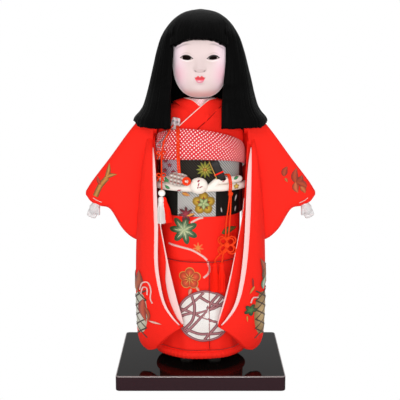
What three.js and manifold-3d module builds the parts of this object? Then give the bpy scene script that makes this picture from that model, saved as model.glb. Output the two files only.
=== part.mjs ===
// Ichimatsu doll in a long-sleeved kimono, standing on a lacquered board.
// Millimetres, +Z up. The origin is the middle of the board's underside. The doll faces -Y,
// so its left arm is at +X. Heights of the doll are measured from its soles.
import * as THREE from "three";
import { mergeVertices } from "three/addons/utils/BufferGeometryUtils.js";
import Module from "manifold-3d";

const wasm = await Module();
wasm.setup();

// Fits
const CLEARANCE = 0.35;
const WELD = 1e-4;

// Board, post and screw
const BOARD_WIDTH = 188;
const BOARD_DEPTH = 168;
const BOARD_THICKNESS = 17;
const BOARD_CORNER = 5;
const BOARD_EDGE = 1.2;
const POST_RADIUS = 6;
const POST_SETBACK = 19;
const POST_SOCKET = 7;
const POST_IN_TORSO = 34;
const SCREW_RADIUS = 2;
const SCREW_HEAD_RADIUS = 4.4;
const SCREW_HEAD_HEIGHT = 3;
const SCREW_BITE = 20;
const SCREW_SUNK = 0.6;

// Padded body: half width and half depth at heights above the soles
const BODY_PROFILE = [
  [0, 47, 40],
  [133, 38, 34.5],
  [240, 37.5, 32.5],
  [262, 42, 29],
  [274, 43, 24],
  [282, 36, 19.5],
  [288, 20, 16],
];
const TORSO_BOTTOM = 133;
const NECK_BASE = 288;
const SHOULDER_HEIGHT = 271;
const ROUND = 24;

// Legs and socks
const LEG_SPACING = 32;
const LEG_TOP = 150;
const LEG_PEG_RADIUS = 7;
const ANKLE_RADIUS = 6.5;
const ANKLE_BONE = 6;
const CALF = { height: 55, radius: 10 };
const KNEE = { height: 80, radius: 9 };
const THIGH = { height: 118, radius: 12 };
const SOCK_HEIGHT = 16;
const SOCK_LENGTH = 36;
const SOCK_WIDTH = 17;
const SOCK_SIDES = 8;
const SOLE_SHARE = 0.85;
const HEEL_SHARE = 0.5;
const TOE_SPLIT = { share: 0.16, width: 0.9, length: 14 };
// Along the foot from heel to toe: place, width and height as shares of the sock's own
const SOCK_SECTIONS = [
  [0, 0.5, 0.7],
  [0.1, 0.78, 1],
  [0.35, 0.86, 1],
  [0.6, 0.94, 0.84],
  [0.85, 1, 0.6],
  [0.97, 0.8, 0.5],
  [1, 0.45, 0.35],
];

// Layers of clothing, from the body outwards
const UNDER_ROBE_WALL = 1.6;
const KIMONO_WALL = 2.8;
const TUCK_WALL = 3.4;
const OBI_WALL = 4.8;
const HEM_HEIGHT = 8.5;
const HEM_ROLL = 8;
const HEM_SWELL = 1.6;
const HEM_SIDES = 6;
const HEM_WAVES = 7;
const HEM_WAVE = 0.7;
const UNDER_ROBE_HEM = 16;
const TUCK_BOTTOM = 121;
const OBI_BOTTOM = 171;
const OBI_HEIGHT = 69;
const ARMHOLE_RADIUS = 10;
const WALL_LAP = 1.5;

// Collars: edges of the left lapel from the nape to below the scarf; the right lapel mirrors them
const LAPEL_THICKNESS = 2;
const LAPEL_STEPS = 16;
const LAPEL_INNER = [
  [CLEARANCE, 22, 295],
  [13, 18, 298],
  [19, 4, 300.5],
  [15, -12, 301],
  [9, -20.5, 299.5],
  [-1.5, -27, 289],
  [-12, -31, 279],
  [-21, -31.5, 270],
  [-28, -30.5, 262.5],
];
const LAPEL_OUTER = [
  [CLEARANCE, 29, 284],
  [20, 24, 288.5],
  [30, 4, 293],
  [28, -9, 293.5],
  [21.5, -18.6, 290.5],
  [10, -28.6, 280],
  [-2, -33, 269.5],
  [-10, -34.8, 260],
  [-17, -34, 252],
];
const RIGHT_LAPEL_POINTS = 6;
const UNDER_COLLAR_WALL = 1.6;
const UNDER_COLLAR_HALF_WIDTH = 16;
const UNDER_COLLAR_HALF_DEPTH = 14.6;
const UNDER_COLLAR_HEIGHT = 13;
const UNDER_COLLAR_V = 9.5;

// Arms: wire path from inside the torso to the palm, for the left arm
const WIRE_RADIUS = 1.5;
const ARM_RADIUS = 8;
const WRIST_RADIUS = 5.5;
const PALM = { drop: 4, width: 6.6, thickness: 4.6, length: 8.5 };
const FINGER = { radius: 1.75, length: 6.4, drop: 12.4, curl: -12, fan: 1.4 };
const FINGER_PLACES = [-4.4, -1.5, 1.5, 4.3];
const FINGER_TIP_ARC = { middle: 1.4, rise: 0.7 };
const THUMB = { x: -6.2, y: -2, drop: 6, radius: 1.8, length: 6, lean: 24, curl: 12 };
const WRIST = { below: 3, above: 7 };
const HAND_SHIFT = { x: 3.9, drop: 7.8 };
const ARM_PATH = [
  [29, 0, 271],
  [38, 0, 271],
  [47, 0, 270.6],
  [56, 0, 266],
  [76, -1, 242],
  [98, -2, 213],
  [113, -3, 192],
  [119, -3, 180],
];
const ARM_START = 0.27;
const ARM_END = 0.93;

// Sleeve over the arm: outline seen from the front, and half thickness, along X
const SLEEVE_START = 49.6;
const SLEEVE_TOP = [
  [49.6, 284],
  [60, 281.5],
  [73.5, 272.5],
  [105, 231],
  [125, 205],
  [131.6, 194.5],
];
const SLEEVE_BOTTOM = [
  [49.6, 260],
  [56, 255],
  [60, 222],
  [65, 170],
  [70, 141],
  [76, 138],
  [90, 150],
  [104, 173],
  [116, 177],
  [126, 182],
  [131.6, 189.5],
];
const SLEEVE_HALF_DEPTH = [
  [49.6, 13],
  [80, 13],
  [118, 11.5],
  [127, 9.5],
  [131.6, 5],
];
const SLEEVE_STATIONS = [49.6, 56, 60, 65, 70, 76, 85, 95, 104, 116, 125, 129, 131.6];
const SLEEVE_SIDES = 12;
const SLEEVE_SQUARENESS = 0.72;
const MOUTH_HALF_DEPTH = 7.4;
const MOUTH_HALF_WIDTH = 10;
const MOUTH_PATH = [
  [107, -2.6, 199],
  [115, -3, 187],
  [121, -3, 176],
  [127, -3, 164],
];

// Hanging bag of the sleeve: inner lip, slit edge and outer edge at heights above the soles
const BAG_REACH = 72;
const BAG_FRONT = [
  [0, 51],
  [215, 51],
  [240, 44],
  [258, 28],
];
const BAG_INNER = [
  [15.5, 66],
  [17.5, 61],
  [22.5, 52],
  [33, 40],
  [42, 28],
  [46.5, 20.5],
  [56, 22],
  [78, 28.5],
  [110, 36.5],
  [150, 44.5],
  [183, 50],
  [258, 54],
];
const BAG_SLIT = [
  [46.5, 21.5],
  [56, 31],
  [68, 39.5],
  [84, 45],
  [113, 50],
  [150, 54],
  [183, 55.5],
  [258, 58],
];
const BAG_OUTER = [
  [15.5, 70],
  [18, 72.5],
  [29, 75],
  [60, 75.8],
  [140, 75.4],
  [258, 74],
];
const BAG_HALF_DEPTH = [
  [15.5, 2.6],
  [31, 5],
  [100, 6],
  [180, 5],
  [258, 3.4],
];
const BAG_STATIONS = [15.5, 17.5, 22.5, 33, 42, 46.5, 58, 78, 105, 140, 180, 215, 240, 258];
const BAG_STEPS = 5;
const LIP_THINNING = 0.72;
const FOLD_SHARE = 0.75;
const FOLD_THINNING = 0.45;
const SLIT_OVERRUN = 6;
const SLIT_REACH = 14;
const LINING_THICKNESS = 1.3;
const LINING_SHOW = 6;
const LINING_DEPTH = 9;
const LINING_BOTTOM = 52.5;
const LINING_TOP = 244;

// Head: a rounded solid about its own centre, and the neck below it
const HEAD_CENTRE = 345;
const HEAD_HALF_WIDTH = 31;
const HEAD_FRONT = 40;
const HEAD_BACK = 37;
const HEAD_ABOVE = 45;
const HEAD_BELOW = 42;
const FACE_SQUARENESS = 2.5;
const PLAN_SQUARENESS = 2.2;
const CHIN_FORWARD = 9;
const EYE_HEIGHT = HEAD_CENTRE + 2;
const EYE_SPACING = 28.6;
const EYE_RADIUS = 6;
const EYE_WIDTH = 13;
const EYE_OPENING = 4.8;
const EYE_DEPTH = 28.2;
const NOSE_TIP_HEIGHT = HEAD_CENTRE - 11;
const NOSE_LENGTH = 16;
const NOSE_OUT = 5;
const NOSE_WIDTH = 4;
const NOSE_UNDER = 4;
const NOSE_CURVE = 1.3;
const MOUTH_HEIGHT = HEAD_CENTRE - 21.5;
const LIP_OUT = 1.7;
const LIP_WIDTH = 4.2;
const LIP_RISE = 1.9;
const LIP_APART = 2;
const SOCKET = { depth: 1.6, width: 9, rise: 6 };
const CHEEK = { out: 1.4, x: 17, height: HEAD_CENTRE - 19, spread: 10 };
const CHIN = { out: 1.2, width: 8, height: HEAD_CENTRE - 36, rise: 6 };
const FACE_GATHER = 0.45;
const NECK_RADIUS = 11;
const NECK_STEM_RADIUS = 8;
const NECK_STEM_LENGTH = 40;

// Hair: half width, front and back reach at heights above the soles
const HAIR_PROFILE = [
  [268, 70, 51, 52],
  [273, 76.5, 51, 53],
  [279, 76, 51, 53],
  [286, 69, 50.5, 53],
  [293, 65, 50, 53],
  [308, 60.5, 50, 52.5],
  [322, 57, 50, 52],
  [338, 53, 49.5, 51],
  [354, 49, 48, 49],
  [370, 43.5, 43, 44.5],
  [384, 34.5, 34.5, 35.5],
  [393, 24.5, 25, 25.5],
  [398, 13.5, 14, 14],
  [400, 4, 4, 4],
];
const HAIR_SQUARENESS = 2.2;
const HAIR_SIDES = 26;
const HAIR_THICKNESS = 8;
const SCALP_GAP = 1.4;
const HAIR_HOLLOW_TOP = 318;
const HAIR_FRONT_BOTTOM = 270.5;
const HAIR_FRONT_FROM = 25;
const NECK_WAY = 14;
const FACE_OPENING_FROM = 16;
const FRINGE_FROM = 8;
const OPENING_REACH = 60;
const FRINGE_BOTTOM = 364;
const FRINGE_HALF_WIDTH = 29;
const FRINGE_SIDE = 6;
const FRINGE_CURVE = 0.6;
const FACE_OPENING_LEFT = 24;
const FACE_OPENING_RIGHT = 31;
const TEMPLE = 20;
const TEMPLE_SPREAD = 4;
const SHOULDER_GAP = 4.6;
const SHOULDER_TUNNEL = 29;
const TUNNEL_FLAT = 0.7;
const TUNNEL_STATIONS = [30, SLEEVE_START, 60, 73.5, 90];
const TUNNEL_SLOPE = 8;

// Scarf over the top of the obi
const SCARF_HALF_DEPTH = 4.6;
const SCARF_END_THINNING = 0.5;
const SCARF_LEAN = 2;
const SCARF_DROP = 4.5;
const SCARF_HALF_HEIGHT = [
  [0, 9],
  [0.2, 12],
  [0.5, 17],
  [0.8, 12],
  [1, 9],
];
const SCARF_STEPS = 20;
const SCARF_SWEEP = 176;

// Padded cord round the obi
const CORD_RADIUS = 4;
const CORD_SHARE = 33 / 69;
const CORD_HEIGHT = OBI_BOTTOM + OBI_HEIGHT * CORD_SHARE;
const CORD_END_RISE = 9;
const KNOT_RADIUS = 10;
const KNOT_HALF_DEPTH = 7;
const KNOT_X = 1;
const LEFT_END = [-82, -22];
const RIGHT_END = [-98, -158];

// Tied obi at the back
const DRUM_WIDTH = 62;
const DRUM_TOP = 252;
const DRUM_BOTTOM = 176;
const DRUM_DEPTH = 27;
const DRUM_EDGE = 3;
const DRUM_FOOT = { lip: 16, deepest: 0.4, rise: 4, back: 28 };
const DRUM_HEAD = { lip: 14, highest: 0.45, fall: 6 };
const WING_LENGTH = 25.5;
const WING_HALF_HEIGHT = 17;
const WING_HALF_DEPTH = 8;
const WING_RISE = 8;
const WING_STEPS = 7;

// Purse, pouch and fan
const PURSE_WIDTH = 15;
const PURSE_HEIGHT = 18;
const PURSE_THICKNESS = 2.6;
const PURSE_X = -27;
const PURSE_HEIGHT_UP = 272.5;
const PURSE_TILT = 12;
const PURSE_CORNER = 2;
const PLATE_EDGE = 0.8;
const PURSE_EDGE_GAP = 1.7;
const PURSE_TUCK = 1.4;
const POUCH_WIDTH = 21;
const POUCH_HEIGHT = 14;
const POUCH_THICKNESS = 6.4;
const POUCH_X = -21;
const POUCH_HEIGHT_UP = CORD_HEIGHT + 10;
const FAN_LENGTH = 25;
const FAN_WIDTH = 9;
const FAN_THICKNESS = 3.2;
const FAN_X = 18.6;
const FAN_HEIGHT_UP = CORD_HEIGHT + 18.4;
const FAN_TILT = -24;

// Thin strings, chain and tassels
const STRING_RADIUS = 0.9;
const STRING_SIDES = 8;
const POUCH_STRING = [
  [-25.6, -33.4, 271.5],
  [-25, -37, 271.2],
  [-24.4, -41.6, 268.8],
  [-23.9, -45.4, 263.5],
  [-23.4, -47.6, 255],
  [-22.8, -48.3, 244],
  [-22, -49.6, 232],
  [-21.2, -51.2, 221.8],
];
const HANGING_STRING = [
  [-30.6, -33.4, 272.5],
  [-32.2, -37, 270.6],
  [-34.6, -40.2, 264.5],
  [-37.6, -40.2, 257],
  [-39.6, -39.3, 247],
  [-40.4, -39, 237],
];
const CHAIN_PATH = [
  [-32.2, -33.2, 268.4],
  [-37.5, -35.4, 263.6],
  [-43.5, -33, 257],
  [-48.5, -28.4, 253],
];
const CHAIN_RADIUS = 0.7;
const RING_RADIUS = 2.6;
const BEAD_RADIUS = 4;
const WHITE_TASSEL_TOP = CORD_HEIGHT - 11;
const WHITE_TASSEL_LENGTH = 29;
const WHITE_TASSEL_RADIUS = 4.4;
const SIDE_TASSEL_LEAN = 14;
const CORD_HITCH = [
  [29.2, -38.4, CORD_HEIGHT + 14],
  [31.4, -40.6, CORD_HEIGHT + 14.6],
  [33.2, -43.4, CORD_HEIGHT + 11],
  [34.2, -44.6, CORD_HEIGHT + 4],
  [34, -46, CORD_HEIGHT - 1],
  [33.2, -46.6, CORD_HEIGHT - 4.4],
];
const HITCH_BALL_RADIUS = 2.4;
const FLOWER_PLACE = [29.5, -46.6, CORD_HEIGHT - 64];
const FLOWER_LOOP = 5;
const FLOWER_LOOP_SPREAD = 6;
const FLOWER_LOOP_RADIUS = 1.4;
const FLOWER_BOSS = 3.4;
const FLOWER_STEM = 9.2;
const STEM_SWELL = 1.6;
const YOKE = { rise: 4, middle: 1.8, overhang: 3, thickness: 2.6, height: 4.4 };
const RED_STRING_SPREAD = 3;
const RED_TASSEL_SHIFT = -9.6;
const RED_TASSEL_TOP = FLOWER_PLACE[2] - 23;
const RED_TASSEL_LENGTH = 31;
const RED_TASSEL_RADIUS = 4.2;
const RED_TASSEL_SPACING = 9.4;

// Colours
const paint = (color, roughness, metalness = 0) =>
  new THREE.MeshStandardMaterial({ color, roughness, metalness });
const LACQUER = paint(0x14100f, 0.12);
const WOOD = paint(0xb58a5a, 0.7);
const STEEL = paint(0xa8abad, 0.35, 1);
const STUFFING = paint(0xd8c7a4, 0.95);
const COTTON = paint(0xf3efe8, 0.9);
const GOFUN = paint(0xf7e9e2, 0.45);
const EYE_GLASS = paint(0x17100c, 0.05);
const HAIR_SILK = paint(0x0e0c0d, 0.5);
const RED_SILK = paint(0xf03222, 0.7);
const LINING_SILK = paint(0xf6dcd8, 0.7);
const BROCADE = paint(0x2a2b2d, 0.6);
const TIE_DYE = paint(0xe8686c, 0.8);
const CREAM_CORD = paint(0xeadfce, 0.7);
const SILVER_CLOTH = paint(0xcfc8c8, 0.5);
const SILVER = paint(0xd5d7da, 0.25, 1);
const ORANGE_STRING = paint(0xe8481c, 0.7);
const WHITE_THREAD = paint(0xf6efe9, 0.8);
const BEAD_WHITE = paint(0xf7f2ea, 0.3);
const FAN_LACQUER = paint(0x1a1512, 0.35);

// Small helpers
const vec = (x, y, z) => new THREE.Vector3(x, y, z);
const mix = (from, to, share) => from + (to - from) * share;
const bell = (distance, width) => Math.exp(-((distance / width) ** 2));
const signedPower = (value, power) => Math.sign(value) * Math.abs(value) ** power;
const radians = THREE.MathUtils.degToRad;

// A smooth value through [place, value] pairs
function through(pairs, column = 1) {
  const last = pairs.length - 1;
  const slope = (k) => {
    const before = pairs[Math.max(k - 1, 0)];
    const after = pairs[Math.min(k + 1, last)];
    return (after[column] - before[column]) / (after[0] - before[0]);
  };
  return (place) => {
    const at = THREE.MathUtils.clamp(place, pairs[0][0], pairs[last][0]);
    let k = 0;
    while (k < last - 1 && pairs[k + 1][0] < at) k++;
    const span = pairs[k + 1][0] - pairs[k][0];
    const t = (at - pairs[k][0]) / span;
    const start = pairs[k][column];
    const end = pairs[k + 1][column];
    const leave = slope(k) * span;
    const arrive = slope(k + 1) * span;
    const bend = 2 * (start - end) + leave + arrive;
    const rise = 3 * (end - start) - 2 * leave - arrive;
    return ((bend * t + rise) * t + leave) * t + start;
  };
}

// Straight line through [place, value] pairs
function between(pairs, column) {
  return (place) => {
    const k = Math.max(pairs.findIndex(([start]) => start >= place), 1);
    const [before, after] = [pairs[k - 1], pairs[k]];
    return mix(before[column], after[column], (place - before[0]) / (after[0] - before[0]));
  };
}

const bodyHalfWidth = between(BODY_PROFILE, 1);
const bodyHalfDepth = between(BODY_PROFILE, 2);
const bodyStations = (from, to) => {
  const inside = BODY_PROFILE.map(([height]) => height).filter((height) => height > from && height < to);
  return [from, ...inside, to];
};

// Closed geometry from points and triangles, turned so that its faces point out
function closed(points, index) {
  let volume = 0;
  for (let i = 0; i < index.length; i += 3) {
    const [a, b, c] = [points[index[i]], points[index[i + 1]], points[index[i + 2]]];
    volume += a.dot(b.clone().cross(c));
  }
  if (volume < 0) index.reverse();
  const geometry = new THREE.BufferGeometry();
  geometry.setFromPoints(points);
  geometry.setIndex(index);
  geometry.computeVertexNormals();
  return geometry;
}

// Triangles that close one flat ring of points
function cap(ring) {
  const normal = vec(0, 0, 0);
  ring.forEach((point, i) => normal.add(point.clone().cross(ring[(i + 1) % ring.length])));
  normal.normalize();
  const across = Math.abs(normal.x) < 0.8 ? vec(1, 0, 0) : vec(0, 1, 0);
  const u = across.addScaledVector(normal, -across.dot(normal)).normalize();
  const v = normal.clone().cross(u);
  const flat = ring.map((point) => new THREE.Vector2(point.dot(u), point.dot(v)));
  return THREE.ShapeUtils.triangulateShape(flat, []).map(([a, b, c]) => {
    const turn = flat[b].clone().sub(flat[a]).cross(flat[c].clone().sub(flat[a]));
    return turn > 0 ? [a, b, c] : [a, c, b];
  });
}

// Walls between rings of equally many points; the last ring meets the first if it is a hoop.
// Facets are split the same way on both sides of a wall, so that nested layers keep their gap.
function walls(rings, hoop) {
  const count = rings[0].length;
  const index = [];
  const bands = hoop ? rings.length : rings.length - 1;
  for (let r = 0; r < bands; r++) {
    const next = (r + 1) % rings.length;
    for (let i = 0; i < count; i++) {
      const j = (i + 1) % count;
      const [a, b, c, d] = [r * count + i, r * count + j, next * count + i, next * count + j];
      if (rings[next][i].z < rings[r][i].z) index.push(a, b, c, b, d, c);
      else index.push(a, b, d, a, d, c);
    }
  }
  return index;
}

// Solid through a row of rings, with flat ends
function loft(rings) {
  const index = walls(rings, false);
  const lastStart = (rings.length - 1) * rings[0].length;
  cap(rings[0]).forEach(([a, b, c]) => index.push(a, c, b));
  cap(rings.at(-1)).forEach(([a, b, c]) => index.push(lastStart + a, lastStart + b, lastStart + c));
  return closed(rings.flat(), index);
}

// Ring-shaped solid: a closed section carried right round
const hoop = (rings) => closed(rings.flat(), walls(rings, true));

// Tapered limb along a curve; radiusAt gives the two half sizes of its oval section
function sweep(curve, from, to, steps, sides, radiusAt) {
  const rings = [];
  for (let s = 0; s <= steps; s++) {
    const place = mix(from, to, s / steps);
    const centre = curve.getPoint(place);
    const along = curve.getTangent(place);
    const side = along.clone().cross(vec(0, 1, 0)).normalize();
    const front = side.clone().cross(along);
    const [wide, deep] = radiusAt(place);
    const ring = [];
    for (let k = 0; k < sides; k++) {
      const turn = (k / sides) * 2 * Math.PI;
      const point = centre.clone().addScaledVector(side, wide * Math.cos(turn));
      ring.push(point.addScaledVector(front, deep * Math.sin(turn)));
    }
    rings.push(ring);
  }
  return loft(rings);
}

const curveOf = (points) => new THREE.CatmullRomCurve3(points.map((point) => vec(...point)));

// Round cord along a smooth route
function cord(points, radius, steps) {
  const section = new THREE.Shape();
  for (let k = 0; k < STRING_SIDES; k++) {
    const turn = (k / STRING_SIDES) * 2 * Math.PI;
    const [x, y] = [radius * Math.cos(turn), radius * Math.sin(turn)];
    if (k === 0) section.moveTo(x, y);
    else section.lineTo(x, y);
  }
  return new THREE.ExtrudeGeometry(section, { steps, extrudePath: curveOf(points) });
}

// Joins and cuts
function welded(geometry) {
  const plain = geometry.clone();
  plain.deleteAttribute("normal");
  plain.deleteAttribute("uv");
  return mergeVertices(plain, WELD);
}

function toSolid(geometry) {
  const whole = welded(geometry);
  const corners = whole.index.array;
  const kept = [];
  for (let i = 0; i < corners.length; i += 3) {
    const [a, b, c] = [corners[i], corners[i + 1], corners[i + 2]];
    if (a !== b && b !== c && c !== a) kept.push(a, b, c);
  }
  const vertProperties = Float32Array.from(whole.attributes.position.array);
  return new wasm.Manifold(
    new wasm.Mesh({ numProp: 3, vertProperties, triVerts: Uint32Array.from(kept) }),
  );
}

function toGeometry(solid) {
  const mesh = solid.getMesh();
  const geometry = new THREE.BufferGeometry();
  geometry.setAttribute("position", new THREE.BufferAttribute(mesh.vertProperties, 3));
  geometry.setIndex(new THREE.BufferAttribute(mesh.triVerts, 1));
  geometry.computeVertexNormals();
  return geometry;
}

const joined = (...pieces) => pieces.map(toSolid).reduce((whole, piece) => whole.add(piece));
const fuse = (...pieces) => toGeometry(joined(...pieces));
const cut = (body, ...tools) => toGeometry(toSolid(body).subtract(joined(...tools)));
const overlap = (one, other) => toGeometry(toSolid(one).intersect(toSolid(other)));

function mirrored(geometry) {
  const copy = welded(geometry).scale(-1, 1, 1);
  copy.index.array.reverse();
  copy.computeVertexNormals();
  return copy;
}

// Simple solids
const box = (x, y, z, width, depth, height) =>
  new THREE.BoxGeometry(width, depth, height).translate(x, y, z);
const upright = (x, y, bottom, top, radius, sides = 14) =>
  new THREE.CylinderGeometry(radius, radius, top - bottom, sides)
    .rotateX(Math.PI / 2)
    .translate(x, y, (top + bottom) / 2);
const ball = (x, y, z, rx, ry, rz, sides = 10) =>
  new THREE.SphereGeometry(1, sides, Math.ceil(sides * 0.7)).scale(rx, ry, rz).translate(x, y, z);

// Round upright solid from [radius, height] pairs
function turned(profile, sides) {
  const outline = profile.map(([radius, height]) => new THREE.Vector2(radius, height));
  return new THREE.LatheGeometry(outline, sides).rotateX(Math.PI / 2);
}

// Body and clothing layers

// Ring round the body at one height, a given distance outside it
function bodyRing(height, out, wave = () => 0) {
  const ring = [];
  const lift = out * THREE.MathUtils.smoothstep(height, OBI_TOP, NECK_BASE);
  for (let k = 0; k < ROUND; k++) {
    const turn = (k / ROUND) * 2 * Math.PI;
    const reach = out + wave(turn);
    const x = (bodyHalfWidth(height) + reach) * Math.cos(turn);
    const y = (bodyHalfDepth(height) + reach) * Math.sin(turn);
    ring.push(vec(x, y, height + lift));
  }
  return ring;
}

// Sleeve-like wall round the body; heights run upwards
function wrap(heights, inside, outside, wave = () => () => 0) {
  const outer = heights.map((height) => bodyRing(height, outside, wave(height)));
  const inner = heights.map((height) => bodyRing(height, inside, wave(height)));
  return hoop([...outer, ...inner.reverse()]);
}

const layer = {};
layer.robeIn = CLEARANCE;
layer.robeOut = layer.robeIn + UNDER_ROBE_WALL;
layer.kimonoIn = layer.robeOut + CLEARANCE;
layer.kimonoOut = layer.kimonoIn + KIMONO_WALL;
layer.sashIn = layer.kimonoOut + CLEARANCE;
layer.tuckOut = layer.sashIn + TUCK_WALL;
layer.obiOut = layer.sashIn + OBI_WALL;

const OBI_TOP = OBI_BOTTOM + OBI_HEIGHT;
const SKIRT_BOTTOM = HEM_HEIGHT + HEM_ROLL + CLEARANCE;
const SKIRT_MIDDLE = TUCK_BOTTOM / 2;
const SKIRT_TOP = OBI_BOTTOM + WALL_LAP;
const soften = (height) => THREE.MathUtils.smoothstep(TUCK_BOTTOM - height, 0, TUCK_BOTTOM);
const hemWave = (height) => (turn) => HEM_WAVE * soften(height) * (1 + Math.cos(HEM_WAVES * turn));

const armCurve = curveOf(ARM_PATH);
const wire = (grow) =>
  sweep(armCurve, 0, 1, 13, 6, () => [WIRE_RADIUS + grow, WIRE_RADIUS + grow]);
const wireBores = [wire(CLEARANCE), mirrored(wire(CLEARANCE))];
const armholes = new THREE.CylinderGeometry(ARMHOLE_RADIUS, ARMHOLE_RADIUS, 2 * SLEEVE_START, 8)
  .rotateZ(Math.PI / 2)
  .translate(0, 0, SHOULDER_HEIGHT);

// Post and screw, in the doll's heights
const POST_FOOT = -POST_SOCKET;
const POST_TOP = TORSO_BOTTOM + POST_IN_TORSO;
const post = (grow) =>
  upright(0, POST_SETBACK, POST_FOOT - grow, POST_TOP + grow, POST_RADIUS + grow);
function screw(grow) {
  const under = SCREW_SUNK - BOARD_THICKNESS;
  return turned(
    [
      [0, under],
      [SCREW_HEAD_RADIUS + grow, under],
      [SCREW_RADIUS + grow, under + SCREW_HEAD_HEIGHT + grow],
      [SCREW_RADIUS + grow, POST_FOOT + SCREW_BITE + grow],
      [0, POST_FOOT + SCREW_BITE + grow],
    ],
    12,
  ).translate(0, POST_SETBACK, 0);
}

function board() {
  const [w, d, r] = [BOARD_WIDTH / 2 - BOARD_EDGE, BOARD_DEPTH / 2 - BOARD_EDGE, BOARD_CORNER];
  const plan = new THREE.Shape();
  plan.moveTo(-w + r, -d);
  plan.lineTo(w - r, -d);
  plan.absarc(w - r, -d + r, r, -Math.PI / 2, 0);
  plan.lineTo(w, d - r);
  plan.absarc(w - r, d - r, r, 0, Math.PI / 2);
  plan.lineTo(-w + r, d);
  plan.absarc(-w + r, d - r, r, Math.PI / 2, Math.PI);
  plan.lineTo(-w, -d + r);
  plan.absarc(-w + r, -d + r, r, Math.PI, 1.5 * Math.PI);
  const slab = new THREE.ExtrudeGeometry(plan, {
    depth: BOARD_THICKNESS - 2 * BOARD_EDGE,
    bevelThickness: BOARD_EDGE,
    bevelSize: BOARD_EDGE,
    bevelSegments: 1,
    curveSegments: 3,
  }).translate(0, 0, BOARD_EDGE - BOARD_THICKNESS);
  const socket = upright(0, POST_SETBACK, POST_FOOT - CLEARANCE, 1, POST_RADIUS + CLEARANCE);
  const under = -BOARD_THICKNESS;
  const sink = upright(0, POST_SETBACK, under - 1, under + 1, SCREW_HEAD_RADIUS + CLEARANCE, 16);
  return cut(slab, socket, screw(CLEARANCE), sink);
}

function leg(grow) {
  const hip = LEG_TOP + POST_IN_TORSO / 2;
  return turned(
    [
      [0, SOCK_HEIGHT / 2 - grow],
      [ANKLE_RADIUS + grow, SOCK_HEIGHT / 2 - grow],
      [ANKLE_RADIUS + grow, SOCK_HEIGHT + ANKLE_BONE],
      [CALF.radius + grow, CALF.height],
      [KNEE.radius + grow, KNEE.height],
      [THIGH.radius + grow, THIGH.height],
      [THIGH.radius + grow, TORSO_BOTTOM - CLEARANCE],
      [LEG_PEG_RADIUS + grow, TORSO_BOTTOM - CLEARANCE],
      [LEG_PEG_RADIUS + grow, hip + grow],
      [0, hip + grow],
    ],
    14,
  ).translate(LEG_SPACING / 2, 0, 0);
}

// Split-toe sock: rounded sections from heel to toe, flat underneath
function sock() {
  const heel = SOCK_LENGTH * HEEL_SHARE;
  const rings = SOCK_SECTIONS.map(([share, width, height]) => {
    const [half, top] = [(width * SOCK_WIDTH) / 2, height * SOCK_HEIGHT];
    const sole = half * SOLE_SHARE;
    const ring = [vec(-sole, 0, CLEARANCE), vec(sole, 0, CLEARANCE)];
    for (let k = 0; k <= SOCK_SIDES; k++) {
      const turn = (k / SOCK_SIDES) * Math.PI;
      ring.push(vec(half * Math.cos(turn), 0, mix(CLEARANCE, 1, Math.sin(turn)) * top));
    }
    return ring.map((point) => point.setY(heel - share * SOCK_LENGTH));
  });
  const toe = heel - SOCK_LENGTH;
  const middle = SOCK_HEIGHT / 2;
  const [wide, long] = [TOE_SPLIT.width, TOE_SPLIT.length];
  const split = box(-SOCK_WIDTH * TOE_SPLIT.share, toe, middle, wide, long, 2 * SOCK_HEIGHT);
  const ankle = upright(0, 0, middle - CLEARANCE, 2 * SOCK_HEIGHT, ANKLE_RADIUS + CLEARANCE, 20);
  return cut(loft(rings), split, ankle).translate(LEG_SPACING / 2, 0, 0);
}

function torso() {
  const solid = loft(bodyStations(TORSO_BOTTOM, NECK_BASE).map((height) => bodyRing(height, 0)));
  const neckEnd = NECK_BASE - NECK_STEM_LENGTH - CLEARANCE;
  const neck = upright(0, 0, neckEnd, NECK_BASE + 1, NECK_STEM_RADIUS + CLEARANCE);
  const legs = [leg(CLEARANCE), mirrored(leg(CLEARANCE))];
  return cut(solid, neck, post(CLEARANCE), ...legs, ...wireBores);
}

const underRobe = () =>
  cut(wrap(bodyStations(UNDER_ROBE_HEM, NECK_BASE), layer.robeIn, layer.robeOut), armholes);
const bodice = () =>
  cut(wrap(bodyStations(SKIRT_TOP + CLEARANCE, NECK_BASE), layer.kimonoIn, layer.kimonoOut), armholes);
const skirtHeights = [SKIRT_BOTTOM, SKIRT_MIDDLE, ...bodyStations(TUCK_BOTTOM, SKIRT_TOP)];
const skirt = () => wrap(skirtHeights, layer.kimonoIn, layer.kimonoOut, hemWave);
const waistTuck = () =>
  wrap(bodyStations(TUCK_BOTTOM, OBI_BOTTOM - CLEARANCE), layer.sashIn, layer.tuckOut);
const obiBand = () => wrap(bodyStations(OBI_BOTTOM, OBI_TOP), layer.sashIn, layer.obiOut);

// Padded hem: a fat rounded roll under the edge of the skirt
function hemRoll() {
  const middle = HEM_HEIGHT + HEM_ROLL / 2;
  const wall = (layer.kimonoOut - layer.kimonoIn) / 2;
  const centre = layer.kimonoIn + wall + HEM_SWELL / 2;
  const rings = [];
  for (let k = 0; k < HEM_SIDES; k++) {
    const turn = (k / HEM_SIDES) * 2 * Math.PI;
    const height = middle + (HEM_ROLL / 2) * (Math.sin(turn) / Math.sin((2 * Math.PI) / HEM_SIDES));
    const out = centre + (wall + HEM_SWELL / 2) * Math.cos(turn);
    rings.push(bodyRing(height, out, hemWave(middle)));
  }
  return hoop(rings);
}

// Collar bands

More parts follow.
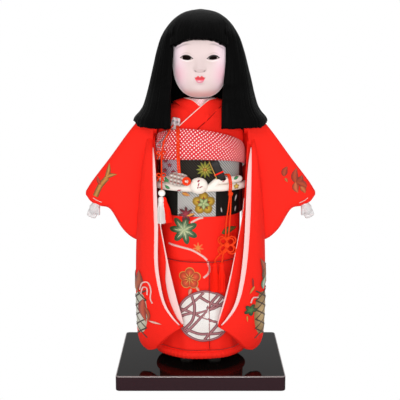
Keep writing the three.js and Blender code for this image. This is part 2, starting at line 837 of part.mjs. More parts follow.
// Flat band between two edge curves, thickened away from the body; pad grows it all round
function band(inner, outer, thickness, pad) {
  const [edgeA, edgeB] = [curveOf(inner), curveOf(outer)];
  const rings = [];
  for (let s = 0; s <= LAPEL_STEPS; s++) {
    const share = s / LAPEL_STEPS;
    const [a, b] = [edgeA.getPoint(share), edgeB.getPoint(share)];
    const across = b.clone().sub(a).normalize();
    const out = across.clone().cross(edgeA.getTangent(share)).normalize();
    if (out.dot(vec(a.x, a.y, a.z - SHOULDER_HEIGHT)) < 0) out.negate();
    a.addScaledVector(across, -pad).addScaledVector(out, -pad);
    b.addScaledVector(across, pad).addScaledVector(out, -pad);
    const lift = out.multiplyScalar(thickness + 2 * pad);
    rings.push([a, b, b.clone().add(lift), a.clone().add(lift)]);
  }
  return loft(rings);
}

// The left lapel lies over the right one
const leftLapel = (pad) => band(LAPEL_INNER, LAPEL_OUTER, LAPEL_THICKNESS, pad);
const otherSide = (points) => points.slice(0, RIGHT_LAPEL_POINTS).map(([x, y, z]) => [-x, y, z]);
const rightLapel = () => band(otherSide(LAPEL_INNER), otherSide(LAPEL_OUTER), LAPEL_THICKNESS, 0);

// Collar of the under robe: an upright oval wall with a notch at the throat
function underCollar() {
  const [bottom, top] = [NECK_BASE + CLEARANCE, NECK_BASE + UNDER_COLLAR_HEIGHT];
  const oval = (height, inset) => {
    const ring = [];
    for (let k = 0; k < 24; k++) {
      const turn = (k / 24) * 2 * Math.PI;
      const x = (UNDER_COLLAR_HALF_WIDTH - inset) * Math.cos(turn);
      ring.push(vec(x, (UNDER_COLLAR_HALF_DEPTH - inset) * Math.sin(turn), height));
    }
    return ring;
  };
  const [outside, inside] = [0, UNDER_COLLAR_WALL];
  const wall = hoop([oval(bottom, outside), oval(top, outside), oval(top, inside), oval(bottom, inside)]);
  const notch = new THREE.Shape();
  notch.moveTo(0, bottom + 1.5);
  notch.lineTo(UNDER_COLLAR_V, top + 1);
  notch.lineTo(-UNDER_COLLAR_V, top + 1);
  const depth = UNDER_COLLAR_HALF_DEPTH + 2;
  return cut(wall, new THREE.ExtrudeGeometry(notch, { depth, bevelEnabled: false }).rotateX(Math.PI / 2));
}

const chestBlock = () =>
  loft(bodyStations(OBI_BOTTOM, NECK_BASE).map((height) => bodyRing(height, layer.kimonoOut + CLEARANCE)));

// Arms and sleeves

// Padded arm; a longer copy of it cuts the sleeve's way in
const ARM_STEPS = 7;
function arm(grow, extraSteps) {
  const step = (ARM_END - ARM_START) / ARM_STEPS;
  const radius = (place) => {
    const share = Math.max((place - ARM_START) / (ARM_END - ARM_START), 0);
    return grow + mix(ARM_RADIUS, WRIST_RADIUS, share);
  };
  const start = ARM_START - extraSteps * step;
  const oval = (place) => [radius(place), radius(place)];
  return sweep(armCurve, start, ARM_END, ARM_STEPS + extraSteps, 8, oval);
}

// Hand: palm, thumb and four slightly curled fingers, made upright at its wrist
function hand() {
  const finger = (x, y, z, { radius, length, curl }, lean) =>
    new THREE.CapsuleGeometry(radius, length, 1, 5)
      .rotateX(Math.PI / 2)
      .rotateX(radians(curl))
      .rotateY(radians(lean))
      .translate(x, y, z);
  const palm = ball(0, 0, -PALM.drop, PALM.width, PALM.thickness, PALM.length, 8);
  const fingers = FINGER_PLACES.map((x, i) => {
    const arc = Math.abs(i - FINGER_TIP_ARC.middle) * FINGER_TIP_ARC.rise;
    return finger(x, CLEARANCE, arc - FINGER.drop, FINGER, x * FINGER.fan);
  });
  const thumb = finger(THUMB.x, THUMB.y, -THUMB.drop, THUMB, THUMB.lean);
  const wrist = upright(0, 0, -WRIST.below, WRIST.above, WRIST_RADIUS - CLEARANCE, 8);
  return fuse(wrist, palm, ...fingers, thumb);
}

function placedHand() {
  const end = armCurve.getPoint(ARM_END);
  const along = armCurve.getTangent(ARM_END);
  const lean = Math.atan2(along.x, -along.z);
  const placed = hand().rotateY(-lean).translate(end.x + HAND_SHIFT.x, end.y, end.z - HAND_SHIFT.drop);
  return cut(placed, wire(CLEARANCE), arm(CLEARANCE, 0));
}

// Sleeve over the arm: oval sections at stations along X
function armSleeve() {
  const tables = [SLEEVE_TOP, SLEEVE_BOTTOM, SLEEVE_HALF_DEPTH];
  const [top, bottom, deep] = tables.map((table) => through(table));
  const rings = SLEEVE_STATIONS.map((x) => {
    const [middle, half] = [(top(x) + bottom(x)) / 2, (top(x) - bottom(x)) / 2];
    const ring = [];
    for (let k = 0; k < SLEEVE_SIDES; k++) {
      const turn = (k / SLEEVE_SIDES) * 2 * Math.PI;
      const y = deep(x) * signedPower(Math.cos(turn), SLEEVE_SQUARENESS) - 1;
      ring.push(vec(x, y, middle + half * signedPower(Math.sin(turn), SLEEVE_SQUARENESS)));
    }
    return ring;
  });
  return loft(rings);
}

const bagInner = through(BAG_INNER);
const bagSlit = through(BAG_SLIT);
const bagOuter = through(BAG_OUTER);
const bagHalfDepth = through(BAG_HALF_DEPTH);
const bagFront = through(BAG_FRONT);

// Point near the middle sheet of the hanging bag, which curves round the skirt
function bagPoint(x, out, height) {
  const deep = bagFront(height);
  const turn = Math.acos(THREE.MathUtils.clamp(x / BAG_REACH, 0, 1));
  const normal = new THREE.Vector2(Math.cos(turn) / BAG_REACH, -Math.sin(turn) / deep).normalize();
  const [cx, cy] = [BAG_REACH * Math.cos(turn), -deep * Math.sin(turn)];
  return vec(cx + out * normal.x, cy + out * normal.y, height);
}

function bag() {
  const rings = BAG_STATIONS.map((height) => {
    const [front, back] = [[], []];
    const half = bagHalfDepth(height);
    const [inner, outer] = [bagInner(height), bagOuter(height) - half * FOLD_SHARE];
    for (let k = 0; k <= BAG_STEPS; k++) {
      const share = k / BAG_STEPS;
      const swell = half * mix(LIP_THINNING, 1, THREE.MathUtils.smoothstep(share, 0, 0.5));
      const thick = swell * mix(1, FOLD_THINNING, THREE.MathUtils.smoothstep(share, 0.8, 1));
      const x = Math.min(mix(inner, outer, share), BAG_REACH - 0.05);
      front.push(bagPoint(x, thick, height));
      back.push(bagPoint(x, -thick, height));
    }
    return [...front, ...back.reverse()];
  });
  return loft(rings);
}

const liningHeights = [
  LINING_BOTTOM,
  ...BAG_STATIONS.filter((height) => height > LINING_BOTTOM + 3 && height < LINING_TOP - 3),
  LINING_TOP,
];

// Slit: the front sheet stops at the slit edge, and a groove behind it takes the lining
function slitCut() {
  const grip = LINING_THICKNESS / 2 + CLEARANCE;
  const [below, above] = [LINING_BOTTOM - SLIT_OVERRUN, LINING_TOP + 3 * SLIT_OVERRUN];
  const rings = [below, ...liningHeights, above].map((height) => {
    const [inner, edge] = [bagInner(height) - SLIT_OVERRUN, bagSlit(height)];
    const lip = edge - LINING_SHOW - 1;
    const deep = edge + LINING_DEPTH;
    const half = edge + LINING_DEPTH / 2;
    return [
      bagPoint(Math.min(inner, lip - 1), SLIT_REACH, height),
      bagPoint(edge, SLIT_REACH, height),
      bagPoint(edge, grip, height),
      bagPoint(half, grip, height),
      bagPoint(deep, grip, height),
      bagPoint(deep, -grip, height),
      bagPoint(half, -grip, height),
      bagPoint(edge, -grip, height),
      bagPoint(lip, -grip, height),
      bagPoint(Math.min(inner, lip - 1), -grip, height),
    ];
  });
  return loft(rings);
}

function sleeveLining() {
  const half = LINING_THICKNESS / 2;
  const rings = liningHeights.map((height) => {
    const edge = bagSlit(height);
    const shown = Math.max(edge - LINING_SHOW, bagInner(height) + 1);
    const places = [shown, edge, edge + LINING_DEPTH / 2, edge + LINING_DEPTH - 1];
    const front = places.map((x) => bagPoint(x, half, height));
    const back = places.map((x) => bagPoint(x, -half, height));
    return [...front, ...back.reverse()];
  });
  return loft(rings);
}

function sleeve() {
  const mouth = sweep(curveOf(MOUTH_PATH), 0, 1, 3, 8, () => [MOUTH_HALF_WIDTH, MOUTH_HALF_DEPTH]);
  const whole = fuse(armSleeve(), bag());
  return cut(whole, slitCut(), arm(CLEARANCE, 2), mouth);
}

// Head and hair

// Point of the head in a given direction, with the face shaped in at the front
function headPoint(direction, grow, features) {
  const lift = Math.asin(THREE.MathUtils.clamp(direction.z, -1, 1));
  const turn = Math.atan2(direction.x, -direction.y);
  const around = Math.cos(lift) ** (2 / FACE_SQUARENESS);
  const reach = Math.cos(turn) > 0 ? HEAD_FRONT : HEAD_BACK;
  const tall = direction.z > 0 ? HEAD_ABOVE : HEAD_BELOW;
  const x = (HEAD_HALF_WIDTH + grow) * around * signedPower(Math.sin(turn), 2 / PLAN_SQUARENESS);
  let y = -(reach + grow) * around * signedPower(Math.cos(turn), 2 / PLAN_SQUARENESS);
  const z = (tall + grow) * signedPower(Math.sin(lift), 2 / FACE_SQUARENESS);
  const low = Math.max(-z / HEAD_BELOW, 0);
  y -= CHIN_FORWARD * low ** 2;
  const height = HEAD_CENTRE + z;
  if (features && y < 0) y -= faceRelief(x, height);
  return vec(x, y, height);
}

// How far the features stand out of the smooth face
function faceRelief(x, height) {
  const down = (NOSE_TIP_HEIGHT + NOSE_LENGTH - height) / NOSE_LENGTH;
  const under = THREE.MathUtils.smoothstep(height, NOSE_TIP_HEIGHT - NOSE_UNDER, NOSE_TIP_HEIGHT);
  const ridge = THREE.MathUtils.clamp(down, 0, 1) ** NOSE_CURVE;
  const nose = NOSE_OUT * ridge * under * bell(x, NOSE_WIDTH);
  const upperLip = bell(height - MOUTH_HEIGHT - LIP_APART, LIP_RISE);
  const lowerLip = bell(height - MOUTH_HEIGHT + LIP_APART, LIP_RISE);
  const lips = LIP_OUT * (upperLip + lowerLip) * bell(x, LIP_WIDTH);
  const sideways = Math.abs(x) - EYE_SPACING / 2;
  const sockets = -SOCKET.depth * bell(sideways, SOCKET.width) * bell(height - EYE_HEIGHT, SOCKET.rise);
  const beside = bell(Math.abs(x) - CHEEK.x, CHEEK.spread);
  const cheeks = CHEEK.out * beside * bell(height - CHEEK.height, CHEEK.spread);
  const chin = CHIN.out * bell(x, CHIN.width) * bell(height - CHIN.height, CHIN.rise);
  return nose + lips + sockets + cheeks + chin;
}

// Sphere whose points gather at the front, so that the face has the finer facets
function headSolid(grow, features, around, down) {
  const sphere = new THREE.SphereGeometry(1, around, down).rotateX(Math.PI / 2);
  const places = sphere.attributes.position;
  const direction = vec(0, 0, 0);
  for (let i = 0; i < places.count; i++) {
    direction.fromBufferAttribute(places, i);
    const turn = Math.atan2(direction.x, -direction.y);
    const gathered = turn - (features ? FACE_GATHER : 0) * Math.sin(turn);
    const flat = Math.hypot(direction.x, direction.y);
    direction.set(flat * Math.sin(gathered), -flat * Math.cos(gathered), direction.z);
    places.setXYZ(i, ...headPoint(direction, grow, features).toArray());
  }
  return sphere;
}

function eyeOpening() {
  const [w, h] = [EYE_WIDTH / 2, EYE_OPENING / 2];
  const almond = new THREE.Shape();
  almond.moveTo(-w, -0.3);
  almond.quadraticCurveTo(0, 2.2 * h, w, 0.3);
  almond.quadraticCurveTo(0, -1.6 * h, -w, -0.3);
  const depth = HEAD_FRONT - EYE_DEPTH + 8;
  return new THREE.ExtrudeGeometry(almond, { depth, bevelEnabled: false, curveSegments: 5 })
    .rotateX(Math.PI / 2)
    .translate(EYE_SPACING / 2, -EYE_DEPTH, EYE_HEIGHT);
}

const eye = (grow) =>
  ball(EYE_SPACING / 2, -EYE_DEPTH, EYE_HEIGHT, EYE_RADIUS + grow, EYE_RADIUS + grow, EYE_RADIUS + grow, 10);

function head() {
  const neckTop = HEAD_CENTRE - HEAD_BELOW / 2;
  const neck = turned(
    [
      [0, NECK_BASE - NECK_STEM_LENGTH],
      [NECK_STEM_RADIUS, NECK_BASE - NECK_STEM_LENGTH],
      [NECK_STEM_RADIUS, NECK_BASE + CLEARANCE],
      [NECK_RADIUS, NECK_BASE + CLEARANCE],
      [NECK_RADIUS, neckTop],
      [0, neckTop],
    ],
    16,
  );
  const solid = fuse(headSolid(0, true, 24, 20), neck);
  const openings = [eyeOpening(), eye(CLEARANCE)];
  return cut(solid, ...openings, ...openings.map(mirrored));
}

// Outline of the hair at one height, drawn in by a given amount
function hairRing(height, inset) {
  const [half, front, back] = [1, 2, 3].map((column) => through(HAIR_PROFILE, column)(height));
  const ring = [];
  for (let k = 0; k < HAIR_SIDES; k++) {
    const turn = (k / HAIR_SIDES) * 2 * Math.PI;
    const reach = Math.cos(turn) > 0 ? front - inset * 0.9 : back - inset;
    const x = (half - inset) * signedPower(Math.sin(turn), 2 / HAIR_SQUARENESS);
    ring.push(vec(x, -reach * signedPower(Math.cos(turn), 2 / HAIR_SQUARENESS), height));
  }
  return ring;
}

// Hollow under the hair for the neck and shoulders
function hairHollow() {
  const bottom = HAIR_PROFILE[0][0];
  const levels = HAIR_PROFILE.map(([height]) => height);
  const inside = levels.filter((height) => height > bottom && height < HAIR_HOLLOW_TOP);
  const heights = [bottom - 2, ...inside, HAIR_HOLLOW_TOP];
  return loft(heights.map((height) => hairRing(height, HAIR_THICKNESS)));
}

// Opening in front of the face, with the fringe above it
function faceOpening() {
  const shape = new THREE.Shape();
  const top = FRINGE_BOTTOM;
  const below = HAIR_PROFILE[0][0] - TEMPLE;
  const [left, right] = [FACE_OPENING_LEFT + TEMPLE_SPREAD, TEMPLE_SPREAD / 2 - FACE_OPENING_RIGHT];
  shape.moveTo(-FACE_OPENING_RIGHT, below);
  shape.lineTo(FACE_OPENING_LEFT, below);
  shape.lineTo(left, top - TEMPLE);
  shape.quadraticCurveTo(left, top - 1, left - 1.5 * TEMPLE_SPREAD, top);
  shape.lineTo(right + TEMPLE_SPREAD / 2, top);
  shape.quadraticCurveTo(right, top - 1, right, top - TEMPLE);
  const depth = OPENING_REACH;
  return new THREE.ExtrudeGeometry(shape, { depth, bevelEnabled: false, curveSegments: 5 })
    .rotateX(Math.PI / 2)
    .translate(0, -FACE_OPENING_FROM, 0);
}

// Tunnel over each shoulder, so that the hair clears the sleeves when the head turns
function shoulderTunnel() {
  const top = through(SLEEVE_TOP);
  const rings = TUNNEL_STATIONS.map((x) => {
    const ceiling = top(x) + SHOULDER_GAP;
    const floor = HAIR_PROFILE[0][0] - SHOULDER_HEIGHT / 4;
    const half = SHOULDER_TUNNEL;
    return [
      vec(x, -half, floor),
      vec(x, half, floor),
      vec(x, half, ceiling - TUNNEL_SLOPE),
      vec(x, half * TUNNEL_FLAT, ceiling),
      vec(x, -half * TUNNEL_FLAT, ceiling),
      vec(x, -half, ceiling - TUNNEL_SLOPE),
    ];
  });
  return loft(rings);
}

function hairMass() {
  const outer = loft(HAIR_PROFILE.map(([height]) => hairRing(height, 0)));
  const scalp = headSolid(SCALP_GAP, false, 18, 12);
  const tunnel = shoulderTunnel();
  const reach = 4 * HAIR_PROFILE[0][2];
  const trim = HAIR_FRONT_BOTTOM - HAIR_PROFILE[0][0] + 2;
  const frontTrim = box(0, -HAIR_FRONT_FROM - reach / 2, HAIR_FRONT_BOTTOM - trim / 2, reach, reach, trim);
  const neckWay = upright(0, 2, NECK_BASE - NECK_STEM_LENGTH, HEAD_CENTRE, NECK_RADIUS + NECK_WAY);
  return cut(outer, scalp, hairHollow(), faceOpening(), tunnel, mirrored(tunnel), frontTrim, neckWay);
}

// Fringe: the front of the hair between the temples, above the face opening
function fringeBlock(grow) {
  const depth = OPENING_REACH;
  const shape = new THREE.Shape();
  const half = FRINGE_HALF_WIDTH + grow;
  shape.moveTo(-half, FRINGE_BOTTOM - grow);
  shape.lineTo(half, FRINGE_BOTTOM - grow);
  const crown = HAIR_PROFILE.at(-3)[0] + grow;
  shape.lineTo(half, FRINGE_BOTTOM + FRINGE_SIDE);
  shape.quadraticCurveTo(half * FRINGE_CURVE, crown, 0, crown);
  shape.quadraticCurveTo(-half * FRINGE_CURVE, crown, -half, FRINGE_BOTTOM + FRINGE_SIDE);
  return new THREE.ExtrudeGeometry(shape, { depth, bevelEnabled: false, curveSegments: 6 })
    .rotateX(Math.PI / 2)
    .translate(0, grow - FRINGE_FROM, 0);
}

// Sash: scarf, cord and the tied back

// Puffed scarf along the front of the obi's top edge
function scarf() {
  const halfHeight = through(SCARF_HALF_HEIGHT);
  const rings = [];
  for (let s = 0; s <= SCARF_STEPS; s++) {
    const share = s / SCARF_STEPS;
    const turn = radians(-90 + (share - 0.5) * SCARF_SWEEP);
    const half = halfHeight(share);
    const middle = OBI_TOP - SCARF_DROP + half;
    const deep = SCARF_HALF_DEPTH * mix(SCARF_END_THINNING, 1, Math.sin(share * Math.PI));
    const out = layer.obiOut + CLEARANCE + deep;
    const [halfX, halfY] = [bodyHalfWidth(OBI_TOP) + out, bodyHalfDepth(OBI_TOP) + out];
    const ring = [];
    for (let k = 0; k < 10; k++) {
      const roll = (k / 10) * 2 * Math.PI;
      const lean = SCARF_LEAN * (Math.sin(roll) + 1) * 0.5;
      const reach = deep * Math.cos(roll) - lean;
      const x = (halfX + reach) * Math.cos(turn);
      const y = (halfY + reach) * Math.sin(turn);
      ring.push(vec(x, y, middle + half * Math.sin(roll)));
    }
    rings.push(ring);
  }
  return loft(rings);
}

const cordOut = layer.obiOut + CLEARANCE + CORD_RADIUS;

// Section of the padded cord at one turn round the body
function cordRing(turn, height, radius) {
  const [halfX, halfY] = [bodyHalfWidth(height) + cordOut, bodyHalfDepth(height) + cordOut];
  const ring = [];
  for (let k = 0; k < 8; k++) {
    const roll = (k / 8) * 2 * Math.PI;
    const reach = radius * Math.cos(roll);
    const [x, y] = [(halfX + reach) * Math.cos(turn), (halfY + reach) * Math.sin(turn)];
    ring.push(vec(x, y, height + radius * Math.sin(roll)));
  }
  return ring;
}

const knot = (grow) => {
  const front = -(bodyHalfDepth(CORD_HEIGHT) + layer.obiOut + CLEARANCE + KNOT_HALF_DEPTH);
  const height = CORD_HEIGHT + CORD_END_RISE * 0.4;
  const [wide, deep] = [KNOT_RADIUS + grow, KNOT_HALF_DEPTH + grow];
  return ball(KNOT_X, front, height, wide, deep, wide * 0.92, 12);
};

// The cord leaves the obi's front alone behind the knot
function cordLoop(grow) {
  const rings = [];
  for (let k = 0; k < ROUND; k++) {
    rings.push(cordRing((k / ROUND) * 2 * Math.PI, CORD_HEIGHT, CORD_RADIUS + grow));
  }
  return hoop(rings);
}

const obiBlock = () =>
  loft([OBI_BOTTOM - OBI_HEIGHT / 2, OBI_TOP].map((height) => bodyRing(height, layer.obiOut + CLEARANCE)));

// Turned-back end of the cord, from the knot to where it is tucked in at the side
function cordEndBody(from, to, grow) {
  const rings = [];
  for (let s = 0; s <= 10; s++) {
    const share = s / 10;
    const rise = CORD_END_RISE * THREE.MathUtils.smoothstep(share, 0, 0.3);
    const thin = mix(1, 0.8, share);
    const turn = radians(mix(from, to, share));
    rings.push(cordRing(turn, CORD_HEIGHT + rise, CORD_RADIUS * thin + grow));
  }
  return loft(rings);
}

const cordEnd = (from, to) => cut(cordEndBody(from, to, 0), cordLoop(CLEARANCE), knot(CLEARANCE));

// Drum of the back bow: a rounded pouch in profile, hollowed for the padded cord
function drum() {
  const near = bodyHalfDepth(OBI_BOTTOM + OBI_HEIGHT / 2) + layer.obiOut + CLEARANCE;
  const far = near + DRUM_DEPTH;
  const side = new THREE.Shape();
  side.moveTo(near - 2, DRUM_BOTTOM + DRUM_FOOT.lip);
  side.quadraticCurveTo(near, DRUM_BOTTOM, near + DRUM_DEPTH * DRUM_FOOT.deepest, DRUM_BOTTOM);
  side.quadraticCurveTo(far, DRUM_BOTTOM + DRUM_FOOT.rise, far, DRUM_BOTTOM + DRUM_FOOT.back);
  side.quadraticCurveTo(far, DRUM_TOP - DRUM_HEAD.fall, near + DRUM_DEPTH * DRUM_HEAD.highest, DRUM_TOP);
  side.quadraticCurveTo(near, DRUM_TOP + 1, near - 2, DRUM_TOP - DRUM_HEAD.lip);
  const depth = DRUM_WIDTH - 2 * DRUM_EDGE;
  const pouch = new THREE.ExtrudeGeometry(side, {
    depth,
    bevelThickness: DRUM_EDGE,
    bevelSize: DRUM_EDGE,
    bevelOffset: -DRUM_EDGE,
    bevelSegments: 1,
    curveSegments: 4,
  })
    .rotateY(Math.PI / 2)
    .rotateX(Math.PI / 2)
    .translate(-depth / 2, 0, 0);
  return cut(pouch, obiBlock(), cordLoop(CLEARANCE));
}

// Wing of the back bow: a puffed loop standing out above the drum
function wing() {
  const near = bodyHalfDepth(OBI_TOP) + layer.obiOut + CLEARANCE + DRUM_DEPTH / 2;
  const rings = [];
  for (let s = 0; s <= WING_STEPS; s++) {
    const share = s / WING_STEPS;
    const x = DRUM_WIDTH / 2 + CLEARANCE + share * WING_LENGTH;
    const z = DRUM_TOP - WING_HALF_HEIGHT * 1.5 + share * WING_RISE;
    const open = mix(0.55, 1, THREE.MathUtils.smoothstep(share, 0, 0.6));
    const shut = Math.sqrt(1 - THREE.MathUtils.smoothstep(share, 0.7, 1) * 0.7);
    const ring = [];
    for (let k = 0; k < 12; k++) {
      const turn = (k / 12) * 2 * Math.PI;
      const y = near + WING_HALF_DEPTH * open * shut * Math.cos(turn);
      ring.push(vec(x, y, z + WING_HALF_HEIGHT * open * shut * Math.sin(turn)));
    }
    rings.push(ring);
  }
  return loft(rings);
}

// Trinkets

// Cushion-edged plate, standing upright and tilted in its own plane
function plate(width, height, thickness, corner, place, tilt) {
  const [w, h, r] = [width / 2 - PLATE_EDGE, height / 2 - PLATE_EDGE, corner];
  const outline = new THREE.Shape();
  outline.moveTo(-w + r, -h);
  outline.lineTo(w - r, -h);
  outline.quadraticCurveTo(w, -h, w, -h + r);
  outline.lineTo(w, h - r);
  outline.quadraticCurveTo(w, h, w - r, h);
  outline.lineTo(-w + r, h);
  outline.quadraticCurveTo(-w, h, -w, h - r);
  outline.lineTo(-w, -h + r);
  outline.quadraticCurveTo(-w, -h, -w + r, -h);
  const depth = thickness - 2 * PLATE_EDGE;
  return new THREE.ExtrudeGeometry(outline, {
    depth,
    bevelThickness: PLATE_EDGE,
    bevelSize: PLATE_EDGE,
    bevelSegments: 1,
    curveSegments: 3,
  })
    .translate(0, 0, -depth / 2)
    .rotateX(Math.PI / 2)
    .rotateY(radians(tilt))
    .translate(...place);
}

// Front of the clothing at one place, a given distance outside the body
function frontOf(x, height, out) {
  const [halfX, halfY] = [bodyHalfWidth(height) + out, bodyHalfDepth(height) + out];
  return -halfY * Math.sqrt(1 - (x / halfX) ** 2);
}

// Scent pouch: a plump little cushion lying on the padded cord
function pouch() {
  const y = frontOf(POUCH_X, CORD_HEIGHT, cordOut + CORD_RADIUS + CLEARANCE) - POUCH_THICKNESS / 2;
  const [wide, deep, tall] = [POUCH_WIDTH / 2, POUCH_THICKNESS / 2, POUCH_HEIGHT / 2];
  return ball(POUCH_X, y, POUCH_HEIGHT_UP, wide, deep, tall, 14);
}

// Tassel hanging from its top: bound head above a flaring skirt of threads
function tassel(length, radius) {
  const neck = radius * 0.62;
  return turned(
    [
      [0, -length],
      [radius, -length],
      [radius * 0.86, -length * 0.55],
      [neck, -length * 0.3],
      [neck * 0.86, -length * 0.24],
      [neck * 1.1, -length * 0.14],
      [neck * 0.7, 0],
      [0, 0],
    ],
    10,
  );
}

const hangFoot = HANGING_STRING.at(-1);

// White tassel with a smaller one leaning out from the same binding
function whiteTassel() {
  const white = tassel(WHITE_TASSEL_LENGTH, WHITE_TASSEL_RADIUS);
  const side = tassel(WHITE_TASSEL_LENGTH * 0.96, WHITE_TASSEL_RADIUS * 0.9)
    .rotateY(radians(-SIDE_TASSEL_LEAN))
    .translate(0.6, 0.4, 0);
  return fuse(white, side).translate(hangFoot[0], hangFoot[1], WHITE_TASSEL_TOP);
}

const beadHeight = WHITE_TASSEL_TOP + CLEARANCE + BEAD_RADIUS;
const bead = () => ball(hangFoot[0], hangFoot[1], beadHeight, BEAD_RADIUS, BEAD_RADIUS, BEAD_RADIUS, 10);

function beadString() {
  const [x, y, z] = hangFoot;
  const [foot, top] = [beadHeight + BEAD_RADIUS + CLEARANCE, z - CLEARANCE];
  return cord([[x, y, foot], [x, y, (foot + top) / 2], [x, y, top]], STRING_RADIUS, 6);
}

const flowerTop = FLOWER_PLACE[2] + FLOWER_STEM;

// Four-loop flower knot with a boss in the middle, a stem up to its strings and a tail to the tassels
function flowerKnot() {
  const [x, y, z] = FLOWER_PLACE;
  const loops = [0, 1, 2, 3].map((k) => {
    const turn = radians(45 + 90 * k);
    return new THREE.TorusGeometry(FLOWER_LOOP, FLOWER_LOOP_RADIUS, 4, 9)
      .scale(1, 0.72, 1)
      .rotateZ(turn)
      .translate(FLOWER_LOOP_SPREAD * Math.cos(turn), FLOWER_LOOP_SPREAD * Math.sin(turn), 0)
      .rotateX(Math.PI / 2)
      .translate(x, y, z);
  });
  const boss = ball(x, y, z, FLOWER_BOSS, FLOWER_BOSS * 0.6, FLOWER_BOSS, 8);
  const stem = upright(x, y, z, flowerTop, STRING_RADIUS * STEM_SWELL, 8);
  const foot = yokeTop + 2 * CLEARANCE;
  const tailX = x + RED_TASSEL_SHIFT;
  const bend = z - FLOWER_LOOP - FLOWER_BOSS;
  const tailPath = [[x, y, z], [x, y, bend], [tailX, y, foot + 4], [tailX, y, foot]];
  const tail = cord(tailPath, STRING_RADIUS * STEM_SWELL, 5);
  return fuse(boss, stem, tail, ...loops);
}

const yokeTop = RED_TASSEL_TOP + YOKE.rise;
function redTassels() {
  const [x, y] = FLOWER_PLACE;
  const twins = [-1, 1].map((side) =>
    tassel(RED_TASSEL_LENGTH, RED_TASSEL_RADIUS).translate((side * RED_TASSEL_SPACING) / 2, 0, 0),
  );
  const wide = RED_TASSEL_SPACING + YOKE.overhang;
  const yoke = box(0, 0, YOKE.middle, wide, YOKE.thickness, YOKE.height);
  return fuse(...twins, yoke).translate(x + RED_TASSEL_SHIFT, y, RED_TASSEL_TOP);
}

// Twin strings from the little ball under the padded cord down to the flower knot
function flowerStrings() {
  const [x, y] = FLOWER_PLACE;
  const [topX, topY, topZ] = CORD_HITCH.at(-1);
  const ballZ = topZ - CLEARANCE - HITCH_BALL_RADIUS;
  const strand = (side) =>
    cord(
      [
        [x + side, y, flowerTop + CLEARANCE],
        [(x + topX) / 2 + side * RED_STRING_SPREAD, y, (flowerTop + ballZ) / 2],
        [topX + side * 0.6, topY, ballZ],
      ],
      STRING_RADIUS,
      6,
    );
  const little = ball(topX, topY, ballZ, HITCH_BALL_RADIUS, HITCH_BALL_RADIUS, HITCH_BALL_RADIUS, 8);
  return fuse(strand(1), strand(-1), little);
}

function chain() {
  const [x, y, z] = CHAIN_PATH.at(-1);
  const ring = new THREE.TorusGeometry(RING_RADIUS, CHAIN_RADIUS, 4, 10)
    .rotateX(Math.PI / 2)
    .rotateZ(radians(-40))
    .translate(x, y, z - RING_RADIUS);
  return fuse(cord(CHAIN_PATH, CHAIN_RADIUS, 7), ring);
}

// Purse tucked in beside the edge of the left lapel
function purse() {
  const near = PURSE_X + PURSE_WIDTH / 2;
  const low = PURSE_HEIGHT_UP - PURSE_HEIGHT / 2;
  const y = frontOf(near, low, layer.kimonoOut + CLEARANCE - PURSE_TUCK) - PURSE_THICKNESS / 2;
  const spot = [PURSE_X, y, PURSE_HEIGHT_UP];
  const body = plate(PURSE_WIDTH, PURSE_HEIGHT, PURSE_THICKNESS, PURSE_CORNER, spot, PURSE_TILT);
  return cut(body, leftLapel(PURSE_EDGE_GAP), chestBlock());
}

// Folded fan, tucked behind the turned-back end of the padded cord
function fan() {
  const lean = radians(Math.abs(FAN_TILT));
  const near = FAN_X - (FAN_WIDTH / 2) * Math.cos(lean) - (FAN_LENGTH / 2) * Math.sin(lean);
  const y = frontOf(near, FAN_HEIGHT_UP, layer.obiOut + CLEARANCE) - FAN_THICKNESS / 2;
  const body = plate(FAN_WIDTH, FAN_LENGTH, FAN_THICKNESS, 1, [FAN_X, y, FAN_HEIGHT_UP], FAN_TILT);
  const below = CORD_HEIGHT + CORD_END_RISE;
  const under = box(FAN_X, y, below - CORD_RADIUS, 4 * FAN_WIDTH, 4 * FAN_THICKNESS, 2 * CORD_RADIUS);
  return cut(body, cordEndBody(...LEFT_END, CLEARANCE), under);
}

// Assembly
const doll = new THREE.Group();
doll.position.z = BOARD_THICKNESS;
function place(name, geometry, material) {
  const mesh = new THREE.Mesh(geometry, material);
  mesh.name = name;
  doll.add(mesh);
}
function pair(name, geometry, material) {
  place(`left_${name}`, geometry, material);
  place(`right_${name}`, mirrored(geometry), material);
}

place("base_board", board(), LACQUER);
place("support_post", cut(post(0), screw(CLEARANCE)), WOOD);
place("post_screw", screw(0), STEEL);
place("torso", torso(), STUFFING);
pair("leg", leg(0), GOFUN);
pair("sock", sock(), COTTON);
pair("arm_wire", wire(0), STEEL);
pair("arm", cut(arm(0, 0), wire(CLEARANCE)), STUFFING);
pair("hand", placedHand(), GOFUN);

place("head", head(), GOFUN);
pair("eye", eye(0), EYE_GLASS);
const hair = hairMass();
place("wig", cut(hair, fringeBlock(CLEARANCE)), HAIR_SILK);
place("fringe", overlap(hair, fringeBlock(0)), HAIR_SILK);

place("under_robe", underRobe(), LINING_SILK);
place("kimono_bodice", bodice(), RED_SILK);
place("kimono_skirt", skirt(), RED_SILK);
place("waist_tuck", waistTuck(), RED_SILK);
place("hem_roll", hemRoll(), RED_SILK);
pair("sleeve", sleeve(), RED_SILK);
pair("sleeve_lining", sleeveLining(), LINING_SILK);

place("obi_band", obiBand(), BROCADE);
place("obi_drum", drum(), BROCADE);
pair("obi_wing", wing(), BROCADE);
place("obi_scarf", scarf(), TIE_DYE);
place("obi_cord", cut(cordLoop(0), knot(CLEARANCE)), CREAM_CORD);
place("obi_cord_knot", knot(0), CREAM_CORD);
place("left_cord_end", cordEnd(...LEFT_END), CREAM_CORD);
place("right_cord_end", cordEnd(...RIGHT_END), CREAM_CORD);

place("under_collar", underCollar(), COTTON);
place("left_lapel", cut(leftLapel(0), chestBlock()), RED_SILK);
place("right_lapel", cut(rightLapel(), chestBlock(), leftLapel(CLEARANCE)), RED_SILK);

